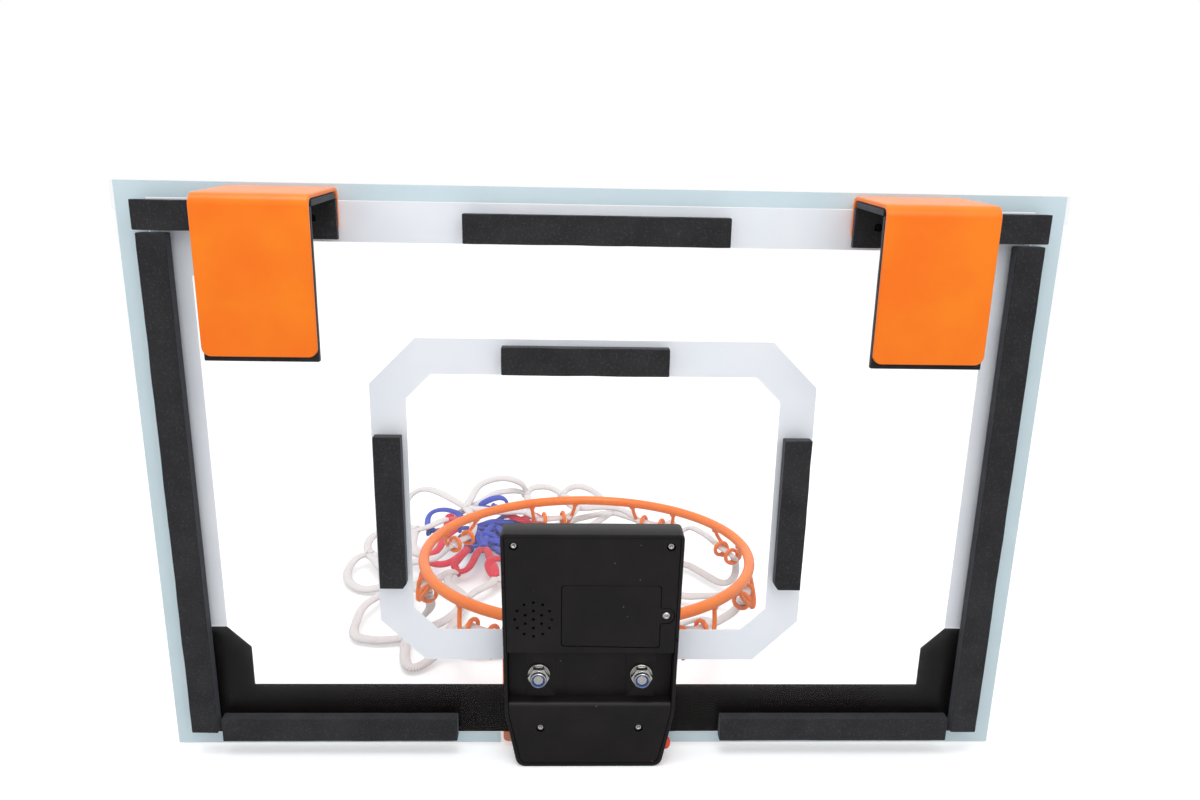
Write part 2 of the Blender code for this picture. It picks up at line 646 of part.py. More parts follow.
def net(mats):
    """Lattice of cord: a top loop through each wire unit, then rows of diamonds to the last loops."""
    frame = rim_frame()
    middle = frame.translation.xy
    pull = Vector((math.sin(NET_PULL), -math.cos(NET_PULL)))
    top_rise = -LOOP_DROP - (LOOP_R - LOOP_WIRE / 2 - NET_CORD / 2 - GAP)
    angles = loop_angles()
    between = [(a + b) / 2 for a, b in zip(angles, angles[1:] + [angles[0] + math.tau])]
    bm = bmesh.new()

    def laid(angle, row):
        shift, radius, height, rise = NET_ROWS[row]
        flat = pull * shift + Vector((radius * math.sin(angle), -radius * math.cos(angle)))
        return bm.verts.new((*(middle + flat), up(CASE_BOTTOM) + height + rise * flat.dot(pull)))

    def beside(along, rise):
        """Two points of each top cord, one on each side of its wire unit."""
        return [[bm.verts.new(frame @ round_rim(a, side * along, LOOP_IN, rise)) for side in (-1, 1)]
                for a in angles]

    tops = beside(NET_TOP_HALF, top_rise)
    knees = beside(NET_KNEE_HALF, -NET_KNEE_DROP)
    rows = [[laid(a, row) for a in (between if row % 2 == 0 else angles)] for row in range(len(NET_ROWS))]
    count = LOOP_UNITS
    for k in range(count):
        bm.faces.new((*tops[k], knees[k][1], rows[0][k], rows[1][k], rows[0][k - 1], knees[k][0]))
        for row in range(len(NET_ROWS) - 2):
            above, middle_row, below = rows[row], rows[row + 1], rows[row + 2]
            if row % 2 == 0:
                bm.faces.new((above[k], middle_row[(k + 1) % count], below[k], middle_row[k]))
            else:
                bm.faces.new((above[k], middle_row[k], below[k], middle_row[k - 1]))
    obj = finish("net", bm, mats["cord"])
    wires = obj.modifiers.new("cords", "WIREFRAME")
    wires.thickness = NET_CORD
    wires.use_boundary = True
    wires.use_even_offset = False
    wires.use_replace = True
    return obj


def rim_fasteners(mats):
    """Two bolts with a washer and a lock nut each, in the channel of the score unit."""
    head = FRONT_SEAT - BRACKET_T - GAP
    washer = CHANNEL_FLOOR + PLATE_STEP + GAP
    nut = washer + WASHER_T + GAP
    collar = nut + NUT_HEX_H
    top = collar + NUT_COLLAR_H
    bore = BOLT_D / 2 + HOLE_PLAY
    corner = BOLT_HEAD_AF / 2 / math.cos(math.pi / 6)
    stem = top - 0.0007
    bolt = [(0, head - BOLT_HEAD_H), (corner * 0.86, head - BOLT_HEAD_H),
            (corner, head - BOLT_HEAD_H + 0.0005), (corner, head), (BOLT_D / 2, head),
            (BOLT_D / 2, stem - 0.0005), (BOLT_D / 2 - 0.0005, stem), (0, stem)]
    for word, side in SIDES:
        frame = facing_back(side * BOLT_X, BOLT_Z)
        finish(f"rim_bolt_{word}", hexagon(turned(bolt, Matrix.Identity(4), 24), corner, frame),
               mats["zinc"], 35)
        finish(f"rim_washer_{word}", looped(
            [(bore, washer), (WASHER_D / 2, washer), (WASHER_D / 2, washer + WASHER_T),
             (bore, washer + WASHER_T)], frame, 24), mats["zinc"], 35)
        lip = INSERT_D / 2
        corner_nut = NUT_AF / 2 / math.cos(math.pi / 6)
        body = looped([(bore, nut), (corner_nut, nut), (corner_nut, collar), (NUT_COLLAR_D / 2, collar),
                       (NUT_COLLAR_D / 2, top), (lip, top), (lip, collar), (bore, collar)],
                      Matrix.Identity(4), 24)
        finish(f"rim_lock_nut_{word}", hexagon(body, corner_nut, frame), mats["zinc"], 35)
        finish(f"lock_nut_insert_{word}", looped(
            [(bore, collar + GAP), (lip - GAP, collar + GAP), (lip - GAP, top - GAP),
             (bore, top - GAP)], frame, 18), mats["nylon"], 35)


def hexagon(bm, corner, matrix):
    """Flatten the widest part of a turned shape into six sides, then place it."""
    flat = corner * math.cos(math.pi / 6)
    for vert in bm.verts:
        reach = math.hypot(vert.co.x, vert.co.y)
        if reach > flat * 0.99:
            turn = math.atan2(vert.co.y, vert.co.x) % (math.pi / 3) - math.pi / 6
            shrink = flat / math.cos(turn) / corner
            vert.co.x *= shrink
            vert.co.y *= shrink
    bmesh.ops.transform(bm, matrix=matrix, verts=bm.verts)
    return bm


def looped(section, matrix, steps):
    """Ring turned about +Z from a closed (radius, height) section."""
    bm = bmesh.new()
    verts = [bm.verts.new((r, 0, h)) for r, h in section]
    edges = [bm.edges.new((v, verts[i - 1])) for i, v in enumerate(verts)]
    bmesh.ops.spin(bm, geom=verts + edges, cent=(0, 0, 0), axis=(0, 0, 1), angle=math.tau,
                   steps=steps, use_merge=True)
    bmesh.ops.remove_doubles(bm, verts=bm.verts, dist=1e-6)
    bmesh.ops.transform(bm, matrix=matrix, verts=bm.verts)
    return bm


def case_shell(mats):
    """Front shell of the score unit: front wall, side walls, screw posts and button hole."""
    shell = finish("case_shell", prism(case_outline(), GAP, CASE_DEPTH), mats["abs"], 30)
    ease(shell, CASE_EDGE)
    floor = CASE_FLOOR
    cut(shell, "cut_case_pocket", [prism(case_outline(CASE_WALL), floor, CASE_DEPTH + 0.01)])
    post_top = BACK_FACE - COUNTERBORE_DEPTH - BACK_T - GAP - GAP
    for index, (x, z) in enumerate(CASE_SCREWS):
        join(shell, f"join_post_{index}", [rod(POST_D / 2, floor - 0.0005, post_top, facing_back(x, z), 14)])
    holes = [rod(SCREW_D / 2 + HOLE_PLAY, floor + 0.0006, 0.02, facing_back(x, z), 10) for x, z in CASE_SCREWS]
    holes += [rod(BOLT_D / 2 + HOLE_PLAY, -0.01, 0.01, facing_back(s * BOLT_X, BOLT_Z)) for s in (-1, 1)]
    holes.append(prism(window_outline(0), -0.01, 0.008))
    button = Matrix.Translation((-CASE_FOOT_HALF, BUTTON_Y, up(BUTTON_Z))) @ Matrix.Rotation(
        math.pi / 2, 4, "Y")
    holes.append(rod(BUTTON_D / 2 + GAP, -0.006, 0.004, button))
    for side, z in CASE_NOTCHES:
        wall = side * (CASE_HALF - CASE_WALL)
        holes.append(block((wall - CASE_NOTCH, CASE_DEPTH - CASE_NOTCH, up(z) - CASE_NOTCH),
                           (wall + CASE_NOTCH, CASE_DEPTH + CASE_NOTCH, up(z) + CASE_NOTCH)))
    return cut(shell, "cut_case_holes", holes)


def window_outline(inset):
    half, rise = WINDOW_W / 2 - inset, WINDOW_H / 2 - inset
    return rectangle(-half, half, up(WINDOW_Z) - rise, up(WINDOW_Z) + rise, WINDOW_R)


def cover_outline(grow=0.0):
    """Battery cover with its round screw tab, from the back."""
    left, right = COVER_LEFT - grow, COVER_RIGHT + grow
    low, high = COVER_LOW - grow, COVER_HIGH + grow
    reach = TAB_R + grow
    corners = [(right, low, COVER_R), (right, high, COVER_R), (left, high, COVER_R), (left, TAB_Z + reach, 0)]
    loop = rounded(corners, 3)[:-1]
    arc = [math.pi / 2 + math.pi * k / 10 for k in range(11)]
    loop += [Vector((left, TAB_Z + reach))]
    loop += [Vector((TAB_X + reach * math.cos(a), TAB_Z + reach * math.sin(a))) for a in arc]
    loop += [Vector((left, TAB_Z - reach))]
    loop += rounded([(left, low + 0.01, 0), (left, low, COVER_R), (right, low, 0)], 3)[1:-1]
    return [(x, up(z)) for x, z in loop]


def case_back(mats):
    """Back cover: bent panel with the bolt channel, grille, counterbores and battery tray."""
    rear, inner = BACK_FACE, BACK_FACE - BACK_T
    floor = CHANNEL_FLOOR
    low, high = CASE_BOTTOM, CASE_TOP
    outside = rounded([(rear, low, 0), (rear, CHANNEL_LOW, CHANNEL_ROUND), (floor, CHANNEL_LOW, 0),
                       (floor, CHANNEL_HIGH, 0), (rear, CHANNEL_HIGH, CASE_EDGE), (rear, high, 0)], 4)
    inside = rounded([(inner, high, 0), (inner, CHANNEL_HIGH + BACK_T, 0),
                      (floor - BACK_T, CHANNEL_HIGH + BACK_T, 0), (floor - BACK_T, CHANNEL_LOW - BACK_T, 0),
                      (inner, CHANNEL_LOW - BACK_T, CHANNEL_ROUND - BACK_T), (inner, low, 0)], 4)
    profile = [(y, up(z)) for y, z in outside + inside]
    back = finish("case_back", prism(profile, -CASE_HALF, CASE_HALF, "YZ"), mats["abs"], 30)
    limits = tool("trim_case_back", [prism(case_outline(CASE_WALL + GAP), -0.005, CASE_DEPTH + 0.005)])
    shape(back, limits, "INTERSECT")
    for index, (x0, x1) in enumerate(PLATE_EDGES):
        join(back, f"join_plate_{index}", [block(
            (x0, floor - BACK_T / 2, up(CHANNEL_LOW) - BACK_T / 2),
            (x1, floor + PLATE_STEP, up(CHANNEL_HIGH) + BACK_T / 2))])
    tray_front = CASE_FLOOR + GAP
    ledge = COVER_LEDGE
    tray = block((COVER_LEFT - TRAY_WALL, tray_front, up(COVER_LOW - TRAY_WALL)),
                 (COVER_RIGHT + TRAY_WALL, inner + BACK_T / 2, up(COVER_HIGH + TRAY_WALL)))
    join(back, "join_tray", [tray])
    join(back, "join_tab_boss", [rod(TAB_R + GAP + 0.0008, tray_front + 0.004, inner + BACK_T / 2,
                                     facing_back(TAB_X, TAB_Z), 20)])
    for index, (x, z) in enumerate(CASE_SCREWS):
        join(back, f"join_boss_{index}", [rod(BOSS_D / 2, rear - COUNTERBORE_DEPTH - BACK_T,
                                              inner + BACK_T / 2, facing_back(x, z), 16)])
    cavity = block((COVER_LEFT + ledge, tray_front + TRAY_FLOOR, up(COVER_LOW + ledge)),
                   (COVER_RIGHT - ledge, 0.02, up(COVER_HIGH - ledge)))
    recess = prism(cover_outline(GAP), COVER_BACK - GAP, 0.02)
    cut(back, "cut_cover_recess", [recess])
    cut(back, "cut_cell_bay", [cavity])
    holes = []
    seat = rear - COUNTERBORE_DEPTH
    for x, z in CASE_SCREWS:
        play = SCREW_D / 2 + HOLE_PLAY
        holes.append(turned([(0, 0.004), (play, 0.004), (play, seat), (COUNTERBORE_D / 2, seat),
                             (COUNTERBORE_D / 2, 0.02), (0, 0.02)], facing_back(x, z)))
    for radius, count in GRILLE_RINGS:
        for k in range(count):
            turn = math.tau * (k + 0.5) / count if count == 6 else math.tau * k / count
            holes.append(rod(GRILLE_HOLE / 2, inner - 0.001, 0.02, facing_back(
                SPEAKER_X + radius * math.cos(turn), SPEAKER_Z + radius * math.sin(turn)), 8))
    holes += [rod(BOLT_D / 2 + HOLE_PLAY, 0, 0.012, facing_back(s * BOLT_X, BOLT_Z)) for s in (-1, 1)]
    holes.append(rod(SCREW_D / 2 + HOLE_PLAY, 0.0075, 0.02, facing_back(TAB_X, TAB_Z), 10))
    return cut(back, "cut_back_holes", holes)


def battery_cover(mats):
    """Cover over the cells, lifted straight off once its screw is undone."""
    cover = finish("battery_cover", prism(cover_outline(), COVER_BACK, BACK_FACE), mats["abs"], 30)
    ease(cover, 0.0003, 1)
    seat = BACK_FACE - COVER_SCREW_SINK
    hole = turned([(0, 0.01), (SCREW_D / 2 + HOLE_PLAY, 0.01), (SCREW_D / 2 + HOLE_PLAY, seat),
                   (SCREW_HEAD_D / 2 + GAP, seat), (SCREW_HEAD_D / 2 + GAP, 0.02), (0, 0.02)],
                  facing_back(TAB_X, TAB_Z))
    cut(cover, "cut_cover_hole", [hole])
    screw = screw_solid(seat + GAP, COVER_SCREW_L, COVER_SCREW_HEAD_H, facing_back(TAB_X, TAB_Z))
    finish("battery_cover_screw", screw, mats["zinc"], 35)


def screw_solid(seat, length, head, matrix):
    """Pan head screw with its head at seat and its shank running to the front."""
    half, shank = SCREW_HEAD_D / 2, SCREW_D / 2
    return turned([(0, seat - length), (shank * 0.4, seat - length), (shank, seat - length + 0.0012),
                   (shank, seat), (half, seat), (half, seat + head * 0.5), (half * 0.72, seat + head),
                   (0, seat + head)], matrix, 14)


def case_screws(mats):
    seat = BACK_FACE - COUNTERBORE_DEPTH + GAP
    for number, (x, z) in enumerate(CASE_SCREWS, 1):
        screw = screw_solid(seat, SCREW_L, SCREW_HEAD_H, facing_back(x, z))
        finish(f"case_screw_{number}", screw, mats["zinc"], 35)


def cells(mats):
    """Three cells in series, the middle one turned round, between their contact plates."""
    middle_x = (COVER_LEFT + COVER_RIGHT) / 2
    middle_z = up((COVER_LOW + COVER_HIGH) / 2)
    centre_y = CASE_FLOOR + GAP + TRAY_FLOOR + GAP + CELL_D / 2
    end = (COVER_RIGHT - COVER_LEFT) / 2 - COVER_LEDGE - GAP
    half, nub, radius = CELL_L / 2, CELL_L / 2 + CELL_NUB_L, CELL_D / 2
    cell = [(0, -half), (radius - 0.0006, -half), (radius, -half + 0.0006), (radius, half - 0.0006),
            (radius - 0.0006, half), (CELL_NUB_D / 2, half), (CELL_NUB_D / 2, nub), (0, nub)]
    plate = end - CONTACT_T
    foot = half + GAP
    spring = [(0, foot), (CONTACT_R * 0.5, foot), (CONTACT_R * 0.7, (foot + plate) / 2),
              (CONTACT_R, plate), (CONTACT_R, end), (0, end)]
    button = [(0, nub + GAP), (CONTACT_R, nub + GAP), (CONTACT_R, end), (0, end)]
    heights = [middle_z + (k - 1) * CELL_PITCH for k in range(3)]
    ends = {}
    for number, z in enumerate(heights):
        plus = -1 if number == 1 else 1
        for word, side in SIDES:
            frame = Matrix.Translation((middle_x, centre_y, z)) @ Matrix.Rotation(side * math.pi / 2, 4, "Y")
            if side == plus:
                finish(f"battery_{number + 1}", turned(cell, frame, 18), mats["cell"], 35)
            ends[number, word] = turned(button if side == plus else spring, frame, 12)

    def strip(side, low, high):
        """Flat plate behind the ends of one or two cells."""
        x0, x1 = sorted((middle_x + side * plate, middle_x + side * end))
        return block((x0, centre_y - CONTACT_R, low - CONTACT_R), (x1, centre_y + CONTACT_R, high + CONTACT_R))

    def contact(name, word, side, numbers):
        low, high = heights[numbers[0]], heights[numbers[-1]]
        obj = finish(name, strip(side, low, high), mats["nickel"], 35)
        for number in numbers:
            join(obj, f"join_{name}_{number}", [ends[number, word]])

    contact("contact_plus", "right", 1, [0])
    contact("contact_bridge_left", "left", -1, [0, 1])
    contact("contact_bridge_right", "right", 1, [1, 2])
    contact("contact_minus", "left", -1, [2])


def inner_parts(mats):
    """Score display and its window, circuit board, speaker and button switch."""
    floor = CASE_FLOOR
    finish("display_window", prism(window_outline(GAP), floor - WINDOW_T, floor), mats["smoked"])
    display = prism(window_outline(-DISPLAY_MARGIN), floor + GAP, floor + GAP + DISPLAY_T)
    finish("score_display", display, mats["display"])
    board = floor + GAP + DISPLAY_T + GAP
    finish("circuit_board", block((-PCB_W / 2, board, up(WINDOW_Z) - PCB_H / 2),
                                  (PCB_W / 2, board + PCB_T, up(WINDOW_Z) + PCB_H / 2)), mats["board"])
    back = BACK_FACE - BACK_T - GAP
    radius = SPEAKER_D / 2
    finish("speaker", turned([(0, back - SPEAKER_H), (radius * 0.5, back - SPEAKER_H),
                              (radius * 0.5, back - SPEAKER_H * 0.55), (radius * 0.92, back - SPEAKER_H * 0.3),
                              (radius, back - SPEAKER_H * 0.3), (radius, back), (radius * 0.86, back),
                              (radius * 0.8, back - 0.0005), (radius * 0.34, back - 0.0012),
                              (radius * 0.3, back - 0.0006), (0, back - 0.0003)],
                             facing_back(SPEAKER_X, SPEAKER_Z), 20), mats["speaker"], 35)
    tip = BUTTON_FLANGE_X - BUTTON_TRAVEL - GAP
    base = tip - SWITCH_TIP_L
    into = Matrix.Translation((0, BUTTON_Y, up(BUTTON_Z))) @ Matrix.Rotation(-math.pi / 2, 4, "Y")
    switch = block((-base, BUTTON_Y - SWITCH_SIDE / 2, up(BUTTON_Z) - SWITCH_SIDE / 2),
                   (SWITCH_T - base, BUTTON_Y + SWITCH_SIDE / 2, up(BUTTON_Z) + SWITCH_SIDE / 2))
    switch = finish("button_switch", switch, mats["switch"])
    join(switch, "join_switch_tip", [rod(SWITCH_TIP_D / 2, base - SWITCH_T / 2, tip, into, 14)])
    edge = base - SWITCH_T - GAP
    finish("switch_board", block((-edge, CASE_FLOOR + GAP, up(BUTTON_Z) - SWITCH_BOARD_H / 2),
                                 (-edge + SWITCH_BOARD_T, BACK_FACE - BACK_T - GAP,
                                  up(BUTTON_Z) + SWITCH_BOARD_H / 2)), mats["board"])


def push_button(mats):
    """Domed button in the side wall, with a flange inside and its origin on its axis."""
    radius, body = BUTTON_D / 2, BUTTON_TIP - BUTTON_DOME
    inner = BUTTON_FLANGE_X
    dome = [(radius * math.cos(a), body + BUTTON_DOME * math.sin(a)) for a in
            (math.radians(10 * k) for k in range(9))]
    profile = [(0, inner), (BUTTON_FLANGE_D / 2, inner), (BUTTON_FLANGE_D / 2, inner + BUTTON_FLANGE_T),
               (radius, inner + BUTTON_FLANGE_T)] + dome + [(0, BUTTON_TIP)]
    bm = turned(profile, Matrix.Rotation(-math.pi / 2, 4, "Y"), 18)
    button = finish("push_button", bm, mats["red"], 35)
    button.location = (0, BUTTON_Y, up(BUTTON_Z))


def build():
    for obj in list(bpy.data.objects):
        bpy.data.objects.remove(obj)
    mats = {"clear": material("clear board", "DCE6EA", 0.05, alpha=0.25),
            "white": material("white print", "E4E7EE", 0.5),
            "black_print": material("black print", "211C1A", 0.45),
            "pale_print": material("pale edge print", "CCDEE4", 0.5, alpha=0.8),
            "orange": material("orange powder coat", "FA6E14", 0.3),
            "foam": material("black foam", "2E2D2E", 0.9),
            "zinc": material("zinc plated steel", "C2C0B8", 0.3, 1.0),
            "nylon": material("blue nylon", "2F4FA0", 0.45),
            "cord": material("white cord", "D8D0D4", 0.85),
            "abs": material("black case plastic", "262425", 0.5),
            "smoked": material("smoked window", "1A1416", 0.1, alpha=0.6),
            "display": material("display face", "141214", 0.35),
            "board": material("circuit board", "1F5A34", 0.5),
            "speaker": material("speaker", "303030", 0.6),
            "switch": material("switch body", "1C1C1E", 0.5),
            "cell": material("cell jacket", "3A3A3E", 0.4),
            "nickel": material("nickel contact", "C9C7C2", 0.25, 1.0),
            "red": material("red button", "F04A28", 0.35)}
    backboard(mats)
    printing(mats)
    for word, side in SIDES:
        door_hook(f"door_hook_{word}", side, mats)
        hook_linings(word, side, mats)
    hook_screws(mats)
    pads(mats)
    rim(mats)
    rim_bracket(mats)
    net(mats)
    rim_fasteners(mats)
    case_shell(mats)
    case_back(mats)
    battery_cover(mats)
    case_screws(mats)
    cells(mats)
    inner_parts(mats)
    push_button(mats)


build()
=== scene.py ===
# %% [markdown]
# # A mini basketball hoop for a door
#
# The hoop is a clear board that hangs on a door by two padded steel hooks. It is seen from behind,
# from a little above, so the foam strips, the score unit and the two lock nuts face us, while the
# ring and its net show through the board. Solid modelling has already settled the rigid shapes.
# Here they get rounded edges and a finish. The ring's wire and the lock nuts are turned afresh in
# finer detail, and the soft pieces get their real form.

# %% Load the solid model
import math

import bmesh
import bpy
import numpy as np
from mathutils import Matrix, Vector, noise


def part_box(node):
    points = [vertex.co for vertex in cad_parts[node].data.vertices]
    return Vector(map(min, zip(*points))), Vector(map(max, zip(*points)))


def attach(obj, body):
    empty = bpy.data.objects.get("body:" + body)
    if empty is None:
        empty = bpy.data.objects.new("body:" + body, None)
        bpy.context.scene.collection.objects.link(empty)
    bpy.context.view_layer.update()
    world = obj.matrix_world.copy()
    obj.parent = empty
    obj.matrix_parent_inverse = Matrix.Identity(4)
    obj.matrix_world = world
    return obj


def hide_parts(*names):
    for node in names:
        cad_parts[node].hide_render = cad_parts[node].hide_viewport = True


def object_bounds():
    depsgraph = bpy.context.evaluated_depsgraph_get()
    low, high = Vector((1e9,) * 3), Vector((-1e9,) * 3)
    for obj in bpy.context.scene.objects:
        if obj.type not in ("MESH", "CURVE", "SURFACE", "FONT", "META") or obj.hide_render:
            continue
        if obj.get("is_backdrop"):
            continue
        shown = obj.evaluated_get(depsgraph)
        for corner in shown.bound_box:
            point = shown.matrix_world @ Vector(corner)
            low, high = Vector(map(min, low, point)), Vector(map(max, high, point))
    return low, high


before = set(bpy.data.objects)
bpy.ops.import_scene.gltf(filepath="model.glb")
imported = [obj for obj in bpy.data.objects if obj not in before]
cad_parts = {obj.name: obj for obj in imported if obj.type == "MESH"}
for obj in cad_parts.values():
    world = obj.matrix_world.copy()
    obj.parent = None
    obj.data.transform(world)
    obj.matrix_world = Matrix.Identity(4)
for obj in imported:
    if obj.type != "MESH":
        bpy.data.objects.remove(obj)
link = bpy.context.scene.collection.objects.link
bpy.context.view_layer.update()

# %% [markdown]
# ## Colours and nodes
#
# A colour picked from a photograph is an sRGB code, while a shader counts in linear light. One
# function converts between them. A second one adds a shader node, fills in its settings and links
# it, and short ones on top of it mix colours, do sums and move a value from one range to another, so
# that a material reads as a short list of what happens to the light.

# %% Helpers for materials
MM = 0.001


def linear(code, alpha=1.0):
    """Linear colour of a six-figure sRGB code."""
    parts = [int(code[i:i + 2], 16) / 255 for i in (0, 2, 4)]
    return [c / 12.92 if c <= 0.04045 else ((c + 0.055) / 1.055) ** 2.4 for c in parts] + [alpha]


def add(tree, kind, settings=(), inputs=()):
    """Add one node. Inputs are values or sockets to link, by the name or number of the socket."""
    node = tree.nodes.new(kind)
    for field, value in dict(settings).items():
        setattr(node, field, value)
    for key, value in dict(inputs).items():
        if isinstance(value, bpy.types.NodeSocket):
            tree.links.new(value, node.inputs[key])
        else:
            node.inputs[key].default_value = value
    return node


def surface(name, colour, roughness, **sockets):
    """New material with a Principled shader. Sockets are its inputs, with _ for a space."""
    mat = bpy.data.materials.new(name)
    mat.use_nodes = True
    shader = mat.node_tree.nodes["Principled BSDF"]
    shader.inputs["Base Color"].default_value = linear(colour)
    shader.inputs["Roughness"].default_value = roughness
    for key, value in sockets.items():
        shader.inputs[key.replace("_", " ")].default_value = value
    return mat, mat.node_tree, shader


def grain(tree, size_mm, detail=2.0, kind="ShaderNodeTexNoise", **inputs):
    """Noise whose features are about size_mm across, on object coordinates."""
    where = add(tree, "ShaderNodeTexCoord").outputs["Object"]
    fields = {"Vector": where, "Scale": 1 / (size_mm * MM), **inputs}
    if kind == "ShaderNodeTexNoise":
        fields["Detail"] = detail
    return add(tree, kind, (), fields)


def ramp(tree, value, stops):
    """Colour ramp through (position, sRGB code) stops."""
    node = add(tree, "ShaderNodeValToRGB", (), {"Fac": value})
    marks = node.color_ramp.elements
    while len(marks) < len(stops):
        marks.new(0.5)
    for mark, (place, code) in zip(marks, stops):
        mark.position = place
        mark.color = linear(code)
    return node.outputs["Color"]


def relief(tree, shader, height, depth_mm, strength=1.0):
    """Bump of a real depth on a shader's normal."""
    node = add(tree, "ShaderNodeBump", (), {"Height": height, "Strength": strength,
                                            "Distance": depth_mm * MM})
    tree.links.new(node.outputs["Normal"], shader.inputs["Normal"])


def mix(tree, share, one, two, how="MIX"):
    """Two colours blended by a number or a socket."""
    return add(tree, "ShaderNodeMix", {"data_type": "RGBA", "blend_type": how},
               {"Factor": share, 6: one, 7: two}).outputs[2]


def calc(tree, operation, *values):
    """Result of one sum on numbers or sockets."""
    return add(tree, "ShaderNodeMath", {"operation": operation}, enumerate(values)).outputs[0]


def remap(tree, value, low, high, to_low, to_high):
    """Value moved from one range to another, and kept inside it."""
    return add(tree, "ShaderNodeMapRange", (),
               {"Value": value, "From Min": low, "From Max": high,
                "To Min": to_low, "To Max": to_high}).outputs["Result"]


print("helpers ready")

# %% [markdown]
# ## Powder-coated steel
#
# The hooks, the ring and its bracket are steel with an orange powder coat. The powder melts in an
# oven into a glossy skin that is never quite flat: it has the faint dimples called orange peel,
# a millimetre or two across. The steel under it doesn't show, so the material is a dielectric and
# not a metal. A second, broader noise shifts the colour a little, as uneven coat thickness does.

# %% Powder coat
powder_coat, tree, shader = surface("orange powder coat", "FF7605", 0.32, Specular_IOR_Level=0.4,
                                    Coat_Weight=0.08, Coat_Roughness=0.12)
patches = grain(tree, 35, 3.0, Roughness=0.6)
tree.links.new(ramp(tree, patches.outputs["Fac"], [(0.35, "FC7500"), (0.65, "FF8205")]),
               shader.inputs["Base Color"])
peel = grain(tree, 1.6, 1.0)
relief(tree, shader, peel.outputs["Fac"], 0.012, 0.6)
print("powder coat", powder_coat.name)

# %% [markdown]
# ## Closed-cell foam
#
# The strips and the linings are EVA foam, sliced from a block. A knife opens the outer cells, so the
# face is matt with fine pits of just under a millimetre. The pits are drawn with Voronoi cells, the
# broader shade of the block with noise, and the paler cells that catch the light with a finer noise.
# The edges of the strips show the thin sheets that the block was welded from, two millimetres apart.

# %% Foam
foam, tree, shader = surface("sliced EVA foam", "28272A", 0.85, Specular_IOR_Level=0.2,
                             Sheen_Weight=0.2, Sheen_Tint=linear("CDD6E6"))
cells = grain(tree, 0.9, kind="ShaderNodeTexVoronoi").outputs["Distance"]
blotch = grain(tree, 14, 4.0).outputs["Fac"]
flecks = grain(tree, 1.0, 3.0).outputs["Fac"]
SHEET_MM = 2
place = add(tree, "ShaderNodeTexCoord").outputs["Object"]
depth = add(tree, "ShaderNodeSeparateXYZ", (), {"Vector": place}).outputs["Y"]
layer = calc(tree, "SINE", calc(tree, "MULTIPLY", depth, math.tau / (SHEET_MM * MM)))
shade = mix(tree, 0.35, ramp(tree, blotch, [(0.3, "2A292A"), (0.7, "353435")]),
            ramp(tree, cells, [(0.0, "8A8A8A"), (0.45, "FFFFFF")]), "MULTIPLY")
shade = mix(tree, 0.4, shade, ramp(tree, layer, [(0.0, "FFFFFF"), (0.9, "A8A8A8")]), "MULTIPLY")
shade = mix(tree, 1.0, shade, ramp(tree, flecks, [(0.55, "000000"), (0.7, "232326")]), "ADD")
tree.links.new(shade, shader.inputs["Base Color"])
relief(tree, shader, cells, 0.10, 0.5)
print("foam", foam.name)

# %% [markdown]
# ## Moulded ABS
#
# The score unit is black ABS moulded against a spark-eroded tool, which leaves a fine even grain of
# about half a millimetre. Black plastic also shows the dust that clings to it, as rare pale specks.
# Voronoi cells give a small speck in each cell that the surface cuts near its middle, and a broad
# noise clouds the black between them.

# %% ABS
abs_plastic, tree, shader = surface("black ABS, spark grain", "171415", 0.4,
                                    Specular_IOR_Level=0.25)
specks = grain(tree, 7, kind="ShaderNodeTexVoronoi", Randomness=1.0)
dust = calc(tree, "LESS_THAN", specks.outputs["Distance"], 0.03)
cloud = ramp(tree, grain(tree, 22, 4.0).outputs["Fac"], [(0.35, "171415"), (0.7, "1E1A1B")])
tree.links.new(mix(tree, dust, cloud, linear("8E9096")), shader.inputs["Base Color"])
spark = grain(tree, 0.45, 2.0)
relief(tree, shader, spark.outputs["Fac"], 0.03, 0.45)
print("ABS", abs_plastic.name)

# %% [markdown]
# ## Clear acrylic and its printing
#
# The board is cast acrylic, which is clear all through. A pane this thin doesn't bend what is behind
# it, so each face is drawn as two things that real acrylic does: it mirrors a share of the light that
# grows as the view gets flatter, which is the Fresnel law, and it lets the rest straight through. A
# few hundredths of milky scatter stand for dust and fine scratches. The scatter is lit from the far
# side, so it pales what shows through clear acrylic and leaves printed areas dark. The printing is
# screen ink on the front face, opaque and satin. The clear edge outside it gets a pale blue sheet of
# painted shade, the colour of the shaded table seen through it. That painted sheet stops where the
# corner of the ring's bracket covers the front face.

# %% Acrylic and inks
acrylic, tree, shader = surface("cast acrylic", "FFFFFF", 0.05, Metallic=1.0)
mirror = add(tree, "ShaderNodeFresnel", (), {"IOR": 1.49}).outputs["Fac"]
tree.links.new(remap(tree, mirror, 0, 1, 0, 0.1), shader.inputs["Alpha"])
handling = grain(tree, 60, 3.0).outputs["Fac"]
tree.links.new(remap(tree, handling, 0.4, 0.8, 0.03, 0.10), shader.inputs["Roughness"])
haze = remap(tree, handling, 0.3, 0.8, 0.03, 0.05)
milk = add(tree, "ShaderNodeBsdfTranslucent", (), {"Color": linear("F4F6F8")})
both = add(tree, "ShaderNodeMixShader", (), {0: haze, 1: shader.outputs["BSDF"],
                                             2: milk.outputs["BSDF"]})
tree.links.new(both.outputs["Shader"], tree.nodes["Material Output"].inputs["Surface"])


